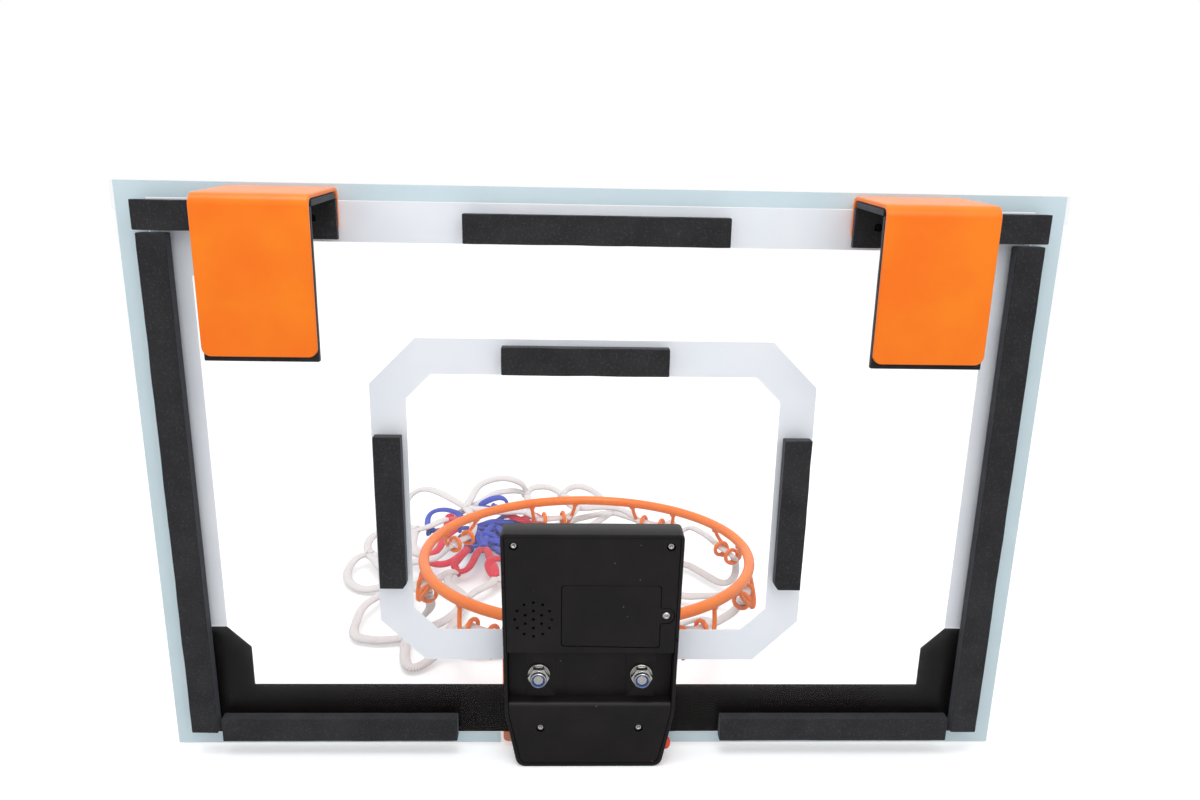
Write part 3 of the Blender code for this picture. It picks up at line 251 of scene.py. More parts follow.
def ink(name, low, high, roughness, **sockets):
    """Screen ink: a satin coat with a faint unevenness."""
    mat, nodes, face = surface(name, low, roughness, **sockets)
    film = grain(nodes, 25, 4.0)
    nodes.links.new(ramp(nodes, film.outputs["Fac"], [(0.3, low), (0.7, high)]),
                    face.inputs["Base Color"])
    mesh_mark = grain(nodes, 0.5, 1.0)
    relief(nodes, face, mesh_mark.outputs["Fac"], 0.005, 0.3)
    return mat


white_ink = ink("white screen ink", "F0F3FA", "F7F9FD", 0.45)
black_ink = ink("black screen ink", "100D0C", "151211", 0.35, Specular_IOR_Level=0.06)
# Painted shade: a pale blue sheet on the clear edge, the colour of the shaded table seen through it.
painted_shade_edge = ink("pale edge, painted shade", "D6E8EF", "DBECF3", 0.5)
BARE_X, BARE_HALF, BARE_TOP = 26.0, 23.5, -200.0
tree = painted_shade_edge.node_tree
place = add(tree, "ShaderNodeTexCoord").outputs["Object"]
where = add(tree, "ShaderNodeSeparateXYZ", (), {"Vector": place}).outputs
bare = calc(tree, "MULTIPLY", calc(tree, "COMPARE", where["X"], BARE_X * MM, BARE_HALF * MM),
            calc(tree, "LESS_THAN", where["Z"], BARE_TOP * MM))
tree.links.new(remap(tree, bare, 0, 1, 0.92, 0.1), tree.nodes["Principled BSDF"].inputs["Alpha"])
print("inks", white_ink.name, black_ink.name, painted_shade_edge.name)

# %% [markdown]
# ## Zinc-plated steel and small mouldings
#
# Nuts, washers and screws are steel with a bright zinc plate, silver with a slightly warm cast. The
# insert that stops each nut from turning is blue nylon. The push button is red gloss plastic.

# %% Metals and small mouldings
zinc, tree, shader = surface("bright zinc plate", "DAD8D5", 0.22, Metallic=1.0)
plate = grain(tree, 1.2, 3.0)
tree.links.new(ramp(tree, plate.outputs["Fac"], [(0.3, "D2D0CB"), (0.7, "E8E7E4")]),
               shader.inputs["Base Color"])
relief(tree, shader, plate.outputs["Fac"], 0.01, 0.4)


def fine(name, colour, roughness, size_mm, depth_mm, strength, **sockets):
    """Plain finish with one fine grain."""
    mat, nodes, face = surface(name, colour, roughness, **sockets)
    relief(nodes, face, grain(nodes, size_mm).outputs["Fac"], depth_mm, strength)
    return mat


# Painted shade: a near-black finish for the hook screws' thread ends, which lie in shade in the
# lining's holes.
painted_shade_thread_end = fine("thread end in painted shade", "1A1918", 0.5, 0.7, 0.02, 0.4, Metallic=0.4)
nylon = fine("blue nylon insert", "3A62B8", 0.4, 0.6, 0.02, 0.4)
red_plastic = fine("red gloss plastic", "EE4526", 0.22, 1.0, 0.005, 0.3, Coat_Weight=0.2)
smoked = fine("smoked polycarbonate window", "1A1416", 0.06, 8.0, 0.003, 0.2, Alpha=0.55)
display_face = fine("display filter", "131113", 0.3, 0.4, 0.01, 0.3)
unlit = fine("unlit display bar", "6A2420", 0.35, 0.5, 0.01, 0.3)
solder_mask = fine("green solder mask", "1F5A34", 0.4, 0.5, 0.02, 0.4)
paper_cone = fine("speaker paper and steel", "2C2C2E", 0.65, 0.3, 0.04, 0.5)
cell_jacket = fine("plain cell jacket", "3A3A3E", 0.35, 2.0, 0.01, 0.3, Metallic=0.3)
nickel = fine("nickel-plated spring steel", "C9C7C2", 0.25, 0.8, 0.01, 0.3, Metallic=1.0)
print("small finishes ready")

# %% [markdown]
# ## Rigid pieces
#
# A solid model comes in as loose flat triangles. A copy of it is merged into one skin, its flat
# areas are joined, and it is shaded smooth except over real corners. A fine bevel then gives each
# corner the small radius that a moulding or a stamped plate always has, and that radius is what
# catches the light. The copy takes the place of the solid, in exactly the same position.

# %% Dress the rigid pieces
def piece(name, bm, mat, smooth=30):
    """Object at the origin from a bmesh, shaded smooth up to an angle."""
    mesh = bpy.data.meshes.new(name)
    bm.to_mesh(mesh)
    bm.free()
    mesh.materials.append(mat)
    mesh.shade_smooth()
    mesh.set_sharp_from_angle(angle=math.radians(smooth))
    obj = bpy.data.objects.new(name, mesh)
    link(obj)
    return obj


def merged(node):
    """bmesh of a solid's skin, with its triangles joined where they are flat."""
    bm = bmesh.new()
    bm.from_mesh(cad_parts[node].data)
    bmesh.ops.remove_doubles(bm, verts=bm.verts, dist=0.002 * MM)
    bmesh.ops.dissolve_limit(bm, angle_limit=math.radians(0.5), verts=bm.verts, edges=bm.edges,
                             delimit={"NORMAL"})
    return bm


def round_edges(obj, width_mm, segments=2, angle=35):
    """Fine bevel on the corners of a piece."""
    bevel = obj.modifiers.new("edge radius", "BEVEL")
    bevel.width = width_mm * MM
    bevel.segments = segments
    bevel.limit_method = "ANGLE"
    bevel.angle_limit = math.radians(angle)
    bevel.use_clamp_overlap = True


def stand_in(obj, node, body="hoop"):
    """Let a piece take a solid's place: the solid is hidden and the piece hangs on a body."""
    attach(obj, body)
    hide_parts(node)


def dress(node, mat, edge_mm=0.0, smooth=30, body="hoop"):
    """Smooth copy of a solid that stands in for it."""
    obj = piece(f"{node}_dressed", merged(node), mat, smooth)
    if edge_mm:
        round_edges(obj, edge_mm)
    stand_in(obj, node, body)
    return obj


LEAN_FROM, LEAN_RISE, LEAN_SLOPE = -3.0, 1.4, 0.055


def lean_back(obj):
    """Slope the top of a hook or a lining down to the back, as a strip bent past a right angle."""
    for vert in obj.data.vertices:
        if vert.co.z > LEAN_FROM * MM:
            vert.co.z += LEAN_RISE * MM - LEAN_SLOPE * vert.co.y


def cut(bm, point, normal, clear=False):
    """Cut a mesh along a plane. With clear, the part past it goes and the cut is closed."""
    bmesh.ops.bisect_plane(bm, geom=bm.verts[:] + bm.edges[:] + bm.faces[:], plane_co=point,
                           plane_no=normal, clear_outer=clear)
    if clear:
        bmesh.ops.holes_fill(bm, edges=[edge for edge in bm.edges if edge.is_boundary])


dressed = [dress("case_shell", abs_plastic, 0.4), dress("case_back", abs_plastic, 0.35),
           dress("battery_cover", abs_plastic, 0.3, body="cover"),
           dress("door_hook_left", powder_coat), dress("door_hook_right", powder_coat),
           dress("rim_bracket", powder_coat, 0.4), dress("push_button", red_plastic, body="button"),
           dress("display_window", smoked, 0.2)]
for side in ("left", "right"):
    dressed += [dress(f"rim_bolt_{side}", zinc, 0.15), dress(f"rim_washer_{side}", zinc, 0.15),
                dress(f"lock_nut_insert_{side}", nylon, 0.1)]
for obj in dressed:
    if obj.name.startswith("door_hook"):
        lean_back(obj)
print("dressed", len(dressed), "rigid pieces")

# %% [markdown]
# ## Lock nuts
#
# A lock nut is a hexagon with a round collar on its outer end, and the collar's rim is rolled over
# the nylon insert. All of it comes from one profile that is turned round the bolt. Where the profile
# reaches past the hexagon's flats, the flats cut it off, which also leaves the curved edge of the
# chamfer on each corner.

# %% Turn the lock nuts
NUT_PROFILE = [(3.1, 0.0), (5.3, 0.0), (5.9, 0.35), (5.9, 3.0), (5.1, 3.4), (4.45, 3.5),
               (4.4, 5.35), (4.25, 5.75), (3.95, 6.0), (3.7, 5.9), (3.62, 4.75), (3.1, 4.75)]
for side in ("left", "right"):
    low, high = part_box(f"rim_lock_nut_{side}")
    middle, flat = (low + high) / 2, (high.z - low.z) / 2
    bm = bmesh.new()
    profile = [bm.verts.new((middle.x + reach * MM, low.y + height * MM, middle.z))
               for reach, height in NUT_PROFILE]
    for one, two in zip(profile, profile[1:] + profile[:1]):
        bm.edges.new((one, two))
    bmesh.ops.spin(bm, geom=bm.verts[:] + bm.edges[:], cent=middle, axis=(0, 1, 0), angle=math.tau,
                   steps=72, use_merge=True)
    for k in range(6):
        angle = math.radians(30 + 60 * k)
        normal = Vector((math.cos(angle), 0, math.sin(angle)))
        cut(bm, middle + normal * flat, normal, clear=True)
    bmesh.ops.recalc_face_normals(bm, faces=bm.faces)
    print("nut", side, "open edges", sum(edge.is_boundary for edge in bm.edges),
          "faces", len(bm.faces))
    stand_in(piece(f"lock_nut_{side}", bm, zinc, 25), f"rim_lock_nut_{side}")
print("lock nuts turned")

# %% [markdown]
# ## Pieces that keep their solid
#
# The board, the thin layers of ink, the thin sheet of painted shade on the clear edge and the pieces
# inside the score unit are already flat or hidden, so their solids stay and only take a finish.

# %% Finishes on the solids
plain = {"backboard": acrylic, "white_border_print": white_ink, "target_print": white_ink,
         "lower_band_print": black_ink, "edge_print": painted_shade_edge,
         "circuit_board": solder_mask, "switch_board": solder_mask, "button_switch": abs_plastic,
         "speaker": paper_cone, **{f"battery_{k}": cell_jacket for k in (1, 2, 3)},
         **{f"contact_{end}": nickel for end in ("plus", "minus", "bridge_left", "bridge_right")}}
for node, mat in plain.items():
    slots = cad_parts[node].data.materials
    slots.clear()
    slots.append(mat)
print("solids that keep their shape:", len(plain))

# %% [markdown]
# ## Score display
#
# Behind the smoked window sits a display of four digits, two for each number it shows. Each digit
# has seven bars with pointed ends, and the digits lean a little, as on most such displays. The unit
# is off, so the bars are a dull red that hardly shows through the window. A six-sided cone whose two
# ends are the same size is a prism, and stretched in one direction it has just the shape of a bar.

# %% Bars of the digits
DIGIT_W, DIGIT_H, DIGIT_STEP, PAIR_GAP = 7.0, 11.5, 10.5, 7.0
BAR_W, BAR_THICK, BAR_SHORTER, DIGIT_LEAN = 1.4, 0.16, 1.0, 0.1
low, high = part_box("score_display")
middle = (low + high) / 2
bm = bmesh.new()
for place in (-1.5, -0.5, 0.5, 1.5):
    centre = place * DIGIT_STEP + math.copysign(PAIR_GAP / 2, place)
    bars = [(0, rise, 90, DIGIT_W) for rise in (-DIGIT_H / 2, 0, DIGIT_H / 2)]
    bars += [(side * DIGIT_W / 2, rise, 0, DIGIT_H / 2)
             for side in (-1, 1) for rise in (-DIGIT_H / 4, DIGIT_H / 4)]
    for across, rise, turn, long in bars:
        spot = Vector((middle.x + (centre + across) * MM, low.y - 0.02 * MM, middle.z + rise * MM))
        size = Vector((BAR_W / 2, (long - BAR_SHORTER) / 2, BAR_THICK)) * MM
        made = bmesh.ops.create_cone(
            bm, cap_ends=True, segments=6, radius1=1, radius2=1, depth=1,
            matrix=Matrix.Translation(spot) @ Matrix.Rotation(math.radians(turn), 4, "Y")
            @ Matrix.Rotation(math.pi / 2, 4, "X") @ Matrix.Diagonal((*size, 1)))
        for vert in made["verts"]:
            vert.co.x += DIGIT_LEAN * (vert.co.z - middle.z)
bmesh.ops.recalc_face_normals(bm, faces=bm.faces)
bars = piece("display_bars", bm, unlit)
stand_in(bars, "score_display")
dress("score_display", display_face, 0.15)
print("bars", len(bars.data.polygons) // 8)

# %% [markdown]
# ## Screws
#
# The screws of the case have pan heads with a cross recess that the driver's tip fits. The recess is
# two crossed slots with sloping ends. Cutting two thin wedges out of the head is the way a heading
# punch makes it, and it leaves the right sharp shadow at this small size. The thread ends of the
# hook screws sit down in the holes of the lining, in shade, and that shade is painted on them.

# %% Cross recesses
def carve(obj, cutter):
    """Cut one mesh out of another for good, and delete the cutter."""
    modifier = obj.modifiers.new("recess", "BOOLEAN")
    modifier.object = cutter
    modifier.operation = "DIFFERENCE"
    modifier.solver = "EXACT"
    modifier.use_self = True
    graph = bpy.context.evaluated_depsgraph_get()
    mesh = bpy.data.meshes.new_from_object(obj.evaluated_get(graph))
    obj.modifiers.clear()
    obj.data = mesh
    bpy.data.objects.remove(cutter)


def cross(centre, out, size_mm, depth_mm):
    """Two crossed wedges that taper into the head."""
    bm = bmesh.new()
    for turn in (20, 110):
        place = (Matrix.Translation(centre) @ out @ Matrix.Rotation(math.radians(turn), 4, "Z"))
        made = bmesh.ops.create_cube(bm, size=1, matrix=place @ Matrix.Diagonal(
            (size_mm * MM, size_mm * 0.26 * MM, 2 * depth_mm * MM, 1)))
        inner = [v for v in made["verts"] if (place.inverted() @ v.co).z < 0]
        bmesh.ops.scale(bm, vec=(0.45, 0.7, 1), space=place.inverted(), verts=inner)
    return piece("recess_cutter", bm, zinc)


TO_BACK = Matrix.Rotation(-math.pi / 2, 4, "X")


def screw_with_recess(node, body, to_back, size_mm, depth_mm):
    """Dressed screw whose head faces the back or the front."""
    low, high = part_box(node)
    screw = dress(node, zinc, body=body)
    face = Vector(((low.x + high.x) / 2, (high if to_back else low).y, (low.z + high.z) / 2))
    carve(screw, cross(face, TO_BACK if to_back else TO_BACK.inverted(), size_mm, depth_mm))
    return screw


for k in (1, 2, 3, 4):
    screw_with_recess(f"case_screw_{k}", "hoop", True, 2.3, 0.8)
screw_with_recess("battery_cover_screw", "cover", True, 2.3, 0.8)
for k in (1, 2, 3, 4):
    screw = screw_with_recess(f"hook_screw_{k}", "hoop", False, 4.2, 1.2)
    # The thread end of each hook screw takes the painted shade.
    screw.data.materials.append(painted_shade_thread_end)
    for polygon in screw.data.polygons:
        polygon.material_index = int(polygon.center.y > 1.0 * MM)
print("screws carved, faces of the last one:", len(screw.data.polygons))

# %% [markdown]
# ## Foam strips
#
# Each strip is cut from sheet foam, so its edges are square but not crisp, and its long sides waver
# by a few tenths of a millimetre where the soft foam gave under the knife. A box is cut into short
# lengths, a smooth noise moves the vertices a little, and the corners are bevelled. The face that is
# glued down stays flat. The holes in the front linings close up a little round the screws. A vector
# noise starts from the clock unless it has a seed, so it gets one, and the foam is the same each run.

# %% Cut the foam
SNIP_H, SNIP_W, FOAM_STEP = 2.8, 2.0, 6
HOLE_REACH, HOLE_CLOSE = 4, 0.24
noise.seed_set(7)


def foam_block(node, flat_axis, flat_side, waver_mm=0.25, snip=0):
    """Foam block in the place of a solid, flat on the side that is glued.

    snip trims the lower corner on the side of -X or +X, as -1 or 1.
    """
    low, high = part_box(node)
    size, middle = high - low, (high + low) / 2
    bm = bmesh.new()
    bmesh.ops.create_cube(bm, size=1,
                          matrix=Matrix.Translation(middle) @ Matrix.Diagonal((*size, 1)))
    if snip:
        corner = Vector((high.x if snip > 0 else low.x, 0, low.z + SNIP_H * MM))
        cut(bm, corner, (snip * SNIP_H, 0, -SNIP_W), clear=True)
    for axis in range(3):
        cuts = max(1, int(size[axis] / (FOAM_STEP * MM)))
        for k in range(1, cuts):
            point = low.copy()
            point[axis] = low[axis] + size[axis] * k / cuts
            normal = Vector((0, 0, 0))
            normal[axis] = 1
            cut(bm, point, normal)
    glued = (low if flat_side < 0 else high)[flat_axis]
    for vert in bm.verts:
        if abs(vert.co[flat_axis] - glued) > 0.5 * MM:
            push = noise.noise_vector(vert.co * 70) + 0.4 * noise.noise_vector(vert.co * 260)
            push[flat_axis] *= 0.6
            vert.co += push * waver_mm * MM
    obj = piece(f"{node}_foam", bm, foam, 50)
    round_edges(obj, 0.5, 3, 50)
    stand_in(obj, node)
    return obj


strips = ["pad_top", "pad_target_top"] + [f"pad_{where}_{side}" for side in ("left", "right")
                                          for where in ("corner", "side", "bottom", "target")]
for node in strips:
    inner = -1 if sum(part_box(node), Vector()).x > 0 else 1
    foam_block(node, 1, -1, snip=inner if node in ("pad_target_left", "pad_target_right") else 0)
screws = [sum(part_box(f"hook_screw_{k}"), Vector()) / 2 for k in (1, 2, 3, 4)]
for side in ("left", "right"):
    lean_back(foam_block(f"top_lining_{side}", 2, 1, 0.15))
    lean_back(foam_block(f"rear_lining_{side}", 1, 1, 0.15))
    lining = dress(f"front_lining_{side}", foam)
    for vert in lining.data.vertices:
        for middle in screws:
            away = Vector((vert.co.x - middle.x, 0, vert.co.z - middle.z))
            if away.length < HOLE_REACH * MM:
                vert.co -= away * HOLE_CLOSE
    lean_back(lining)
    round_edges(lining, 0.25)
print("foam pieces", len(strips) + 6)

# %% [markdown]
# ## Ring and wire units
#
# The ring is bent from round rod. Under it are eight units of thinner wire, which hold the net. A
# unit is a pair of hooks that mirror each other: the wire leaves the rod at a weld, slants down and
# out, turns back up in a narrow bend and ends in a coil, the eye that the cord passes through. Six
# of the hooks are shallow and go into the coil without the bend. The path of a hook is written as
# points in the ring's own directions: along the rod, in towards the middle, and up. A smooth curve
# through all the points gives the wire. A tube is swept along a curve as rows of corners, because
# each corner also notes its way along the cord and across it, which the cord's finish needs.

# %% Wire
RING_R, ROD_R, WIRE_R = 111.0, 3.5, 1.4
RING_Y = -129.8
RING_MIDDLE = Vector((0, RING_Y, 0))
LIFT = Matrix.Translation((0, -3.0, -232.7)) @ Matrix.Rotation(math.radians(2.9), 4, "X")
FACING = Vector((0, 0.42, 0.91))
END_SHRINK = 0.72


def on_ring(turn, along=0.0, inwards=0.0, rise=0.0):
    """Point in mm beside the ring. turn 0 is its far side, where along runs to +X."""
    turn += along / RING_R
    reach = RING_R - inwards
    return LIFT @ Vector((reach * math.sin(turn), RING_Y - reach * math.cos(turn), rise))


def smooth_line(points, step):
    """Points a step apart on a smooth curve through the given ones, all in mm."""
    ends = [points[0] * 2 - points[1], *points, points[-1] * 2 - points[-2]]
    fine = []
    for a, b, c, d in zip(ends, ends[1:], ends[2:], ends[3:]):
        for k in range(12):
            t = k / 12
            fine.append(0.5 * (2 * b + (c - a) * t + (2 * a - 5 * b + 4 * c - d) * t ** 2
                               + (3 * b - a - 3 * c + d) * t ** 3))
    fine.append(points[-1].copy())
    run = [0.0]
    for a, b in zip(fine, fine[1:]):
        run.append(run[-1] + (b - a).length)
    count = max(2, round(run[-1] / step))
    line, i = [], 0
    for k in range(count + 1):
        want = run[-1] * k / count
        while i < len(run) - 2 and run[i + 1] < want:
            i += 1
        share = (want - run[i]) / max(run[i + 1] - run[i], 1e-9)
        line.append(fine[i].lerp(fine[i + 1], min(max(share, 0), 1)))
    return line


def sweep(line, half_wide, half_thick, sides=12, level=0.0):
    """Closed tube with an oval section along a line, in mm. level turns its flat side to FACING.

    Returns the corners, the faces and, for each corner, its way along the line and across it.
    """
    corners, marks, faces = [], [], []
    normal = Vector((0, 0, 1))
    run = 0.0
    for i, point in enumerate(line):
        ahead, behind = line[min(i + 1, len(line) - 1)], line[max(i - 1, 0)]
        tangent = (ahead - behind).normalized()
        if i:
            run += (point - line[i - 1]).length
        else:
            normal = tangent.orthogonal() if abs(tangent.z) > 0.9 else normal
        upright = FACING - tangent * tangent.dot(FACING)
        normal = (normal - tangent * normal.dot(tangent)).normalized()
        if level:
            if upright.dot(normal) < 0:
                upright.negate()
            normal = (normal + upright * level).normalized()
        side = tangent.cross(normal)
        end = END_SHRINK if i in (0, len(line) - 1) else 1.0
        for k in range(sides):
            angle = math.tau * k / sides
            corners.append(point + side * (half_wide * end * math.cos(angle))
                           + normal * (half_thick * end * math.sin(angle)))
            marks.append((run, math.cos(angle)))
    for i in range(len(line) - 1):
        for k in range(sides):
            a, b = i * sides + k, i * sides + (k + 1) % sides
            faces.append((a, b, b + sides, a + sides))
    faces.append(tuple(reversed(range(sides))))
    faces.append(tuple(range(len(corners) - sides, len(corners))))
    return corners, faces, marks


def tubes(name, parts, mat):
    """One object from several swept tubes, with their corners in mm."""
    corners, faces = [], []
    for made, flat, _ in parts:
        faces += [tuple(v + len(corners) for v in face) for face in flat]
        corners += [c * MM for c in made]
    mesh = bpy.data.meshes.new(name)
    mesh.from_pydata(corners, [], faces)
    bm = bmesh.new()
    bm.from_mesh(mesh)
    bmesh.ops.recalc_face_normals(bm, faces=bm.faces)
    bm.to_mesh(mesh)
    bm.free()
    mesh.materials.append(mat)
    mesh.shade_smooth()
    obj = bpy.data.objects.new(name, mesh)
    link(obj)
    return obj


DEEP = [(18.0, 0.0, -3.2), (17.4, -0.9, -7.0), (15.4, -2.8, -14.0), (12.6, -4.4, -21.0),
        (10.6, -4.6, -25.2), (9.7, -3.6, -26.6), (9.4, -2.6, -24.6)]
SHALLOW = [(18.0, 0.0, -3.2), (17.0, -1.2, -7.2), (14.0, -2.9, -11.6), (11.0, -3.9, -14.6)]
SHALLOW_HOOKS = [(1, -1), (2, -1), (2, 1), (5, -1), (5, 1), (6, 1)]
EYE_ALONG, EYE_STEP, EYE_IN, EYE_DOWN, EYE_R = 9.3, 2.6, 0.9, 14.6, 4.9
WELD, BEAD_R, BEAD_H = 18.0, 2.5, 1.7


def hook_path(turn, side, deep):
    """Middle line of one hook's wire. side is 1 or -1 along the rod."""
    path = list(DEEP if deep else SHALLOW)
    for k in range(15):
        share = k / 14
        angle = math.radians(-150 + 430 * share)
        path.append((EYE_ALONG - EYE_STEP * share, EYE_IN + EYE_R * math.cos(angle),
                     -EYE_DOWN + EYE_R * math.sin(angle)))
    return smooth_line([on_ring(turn, side * along, inwards, rise)
                        for along, inwards, rise in path], 0.8)


TURNS = [math.radians(t) for t in (-146, -111, -71, -29.5, 13.5, 59, 106, 145)]
bm = bmesh.new()
far_side = (Matrix.Translation(RING_MIDDLE - Vector((0, RING_R, 0)))
            @ Matrix.Rotation(math.pi / 2, 4, "Y"))
bmesh.ops.create_circle(bm, segments=20, radius=ROD_R, matrix=far_side)
bmesh.ops.spin(bm, geom=bm.verts[:] + bm.edges[:], cent=RING_MIDDLE, axis=(0, 0, 1), angle=math.tau,
               steps=256, use_merge=True)
bmesh.ops.transform(bm, matrix=Matrix.Scale(MM, 4) @ LIFT, verts=bm.verts)
print("rod: open edges", sum(edge.is_boundary for edge in bm.edges), "faces", len(bm.faces))
for turn in TURNS:
    for along in (-WELD, WELD):
        bead = bmesh.ops.create_uvsphere(bm, u_segments=12, v_segments=8, radius=1)
        place = on_ring(turn, along, 0.2, -3.6) * MM
        for vert in bead["verts"]:
            bump = 1 + 0.14 * noise.noise(vert.co * 2.3 + place * 900)
            size = Vector((vert.co.x * BEAD_R, vert.co.y * BEAD_R, vert.co.z * BEAD_H))
            vert.co = place + size * bump * MM
bmesh.ops.recalc_face_normals(bm, faces=bm.faces)
ring = piece("ring_rod", bm, powder_coat, 60)
hooks = [hook_path(turn, side, (k, side) not in SHALLOW_HOOKS)
         for k, turn in enumerate(TURNS) for side in (-1, 1)]
wires = tubes("ring_wire_units", [sweep(line, WIRE_R, WIRE_R) for line in hooks], powder_coat)
for obj in (ring, wires):
    stand_in(obj, "rim_ring")
print("ring", len(ring.data.vertices), "wire units", len(wires.data.vertices))

# %% [markdown]
# ## The net's cord
#
# The net is made of flat braided cord, white in its upper rows, then red, then blue. Braid shows as
# fine ribs across the cord, 1.3 mm apart, which lean a little towards its edges. Every corner of the
# cord's mesh carries three numbers: how far along the cord it is, how far across, and its dye. The
# material draws the ribs from the first two, so they follow each cord round every bend.

# %% Cord material
cord_mat, tree, shader = surface("braided flat cord", "F2ECEA", 0.75, Specular_IOR_Level=0.25,
                                 Sheen_Weight=0.35)


def carried(name):
    """Number that each corner of the mesh carries."""
    return add(tree, "ShaderNodeAttribute", {"attribute_name": name}).outputs["Fac"]


RIB_MM, RIB_LEAN = 1.3, 2.2
lean = calc(tree, "MULTIPLY", calc(tree, "ABSOLUTE", carried("across")), RIB_LEAN)
turns = calc(tree, "MULTIPLY_ADD", carried("along"), math.tau / RIB_MM, lean)
rib = remap(tree, calc(tree, "SINE", turns), -1, 1, 0, 1)
dye = carried("dye")
fibres = grain(tree, 0.35, 3.0).outputs["Fac"]
warm = mix(tree, calc(tree, "GREATER_THAN", dye, 0.5), linear("F7F1F0"), linear("F0334C"))
dyed = mix(tree, calc(tree, "GREATER_THAN", dye, 1.5), warm, linear("4558D6"))
shade = mix(tree, 0.5, dyed, ramp(tree, rib, [(0.0, "BFB7B6"), (0.6, "FFFFFF")]), "MULTIPLY")
soil = mix(tree, 0.2, shade, ramp(tree, fibres, [(0.3, "CFC8C4"), (0.6, "FFFFFF")]), "MULTIPLY")
tree.links.new(soil, shader.inputs["Base Color"])
relief(tree, shader, rib, 0.25, 0.8)
print("cord", cord_mat.name)

# %% [markdown]
# ## Where the net lies
#
# The hoop stands on a table with its net drawn out to one side. Eight cords each run from a knot up
# through the two eyes of a wire unit and down to the next knot. Below those knots come four rows of
# meshes, and each cord there joins a knot to one of the two knots under it. The tables give every
# knot, and the points in between where a cord bows out, as (x, y, height above the table) in mm. The
# letters A to E name the rows of knots, T the top cords, and a and b a unit's two sides. A cord that
# isn't in the table bows out by itself, by as much as its spare length allows, and one from row D
# curls through the heart of the bunch.

# %% Knots and ways
KNOTS = {
    "A": [(-60, -123, 6), (-54, -190, 8), (-74, -258, 16), (20, -318, 30), (102, -276, 34),
           (174, -230, 12), (123, -111, 5), (28, -96, 3)],
    "B": [(-7, -149, 4), (-5, -188, 6), (-14, -242, 9), (-25, -308, 18), (52, -315, 32),
           (142, -259, 20), (148, -183, 7), (88, -166, 6)],
    "C": [(34, -176, 6), (32, -206, 10), (28, -234, 14), (34, -266, 18), (115, -271, 26),
           (129, -220, 14), (100, -207, 8), (70, -196, 8)],
    "D": [(58, -219, 12), (53, -238, 14), (47, -253, 18), (55, -271, 24), (78, -280, 32),
           (106, -255, 24), (94, -231, 17), (83, -235, 15)],
    "E": [(70, -257, 8), (65, -269, 12), (61, -279, 16), (68, -287, 24), (131, -263, 18),
           (103, -269, 10), (90, -262, 14), (81, -270, 6)]}
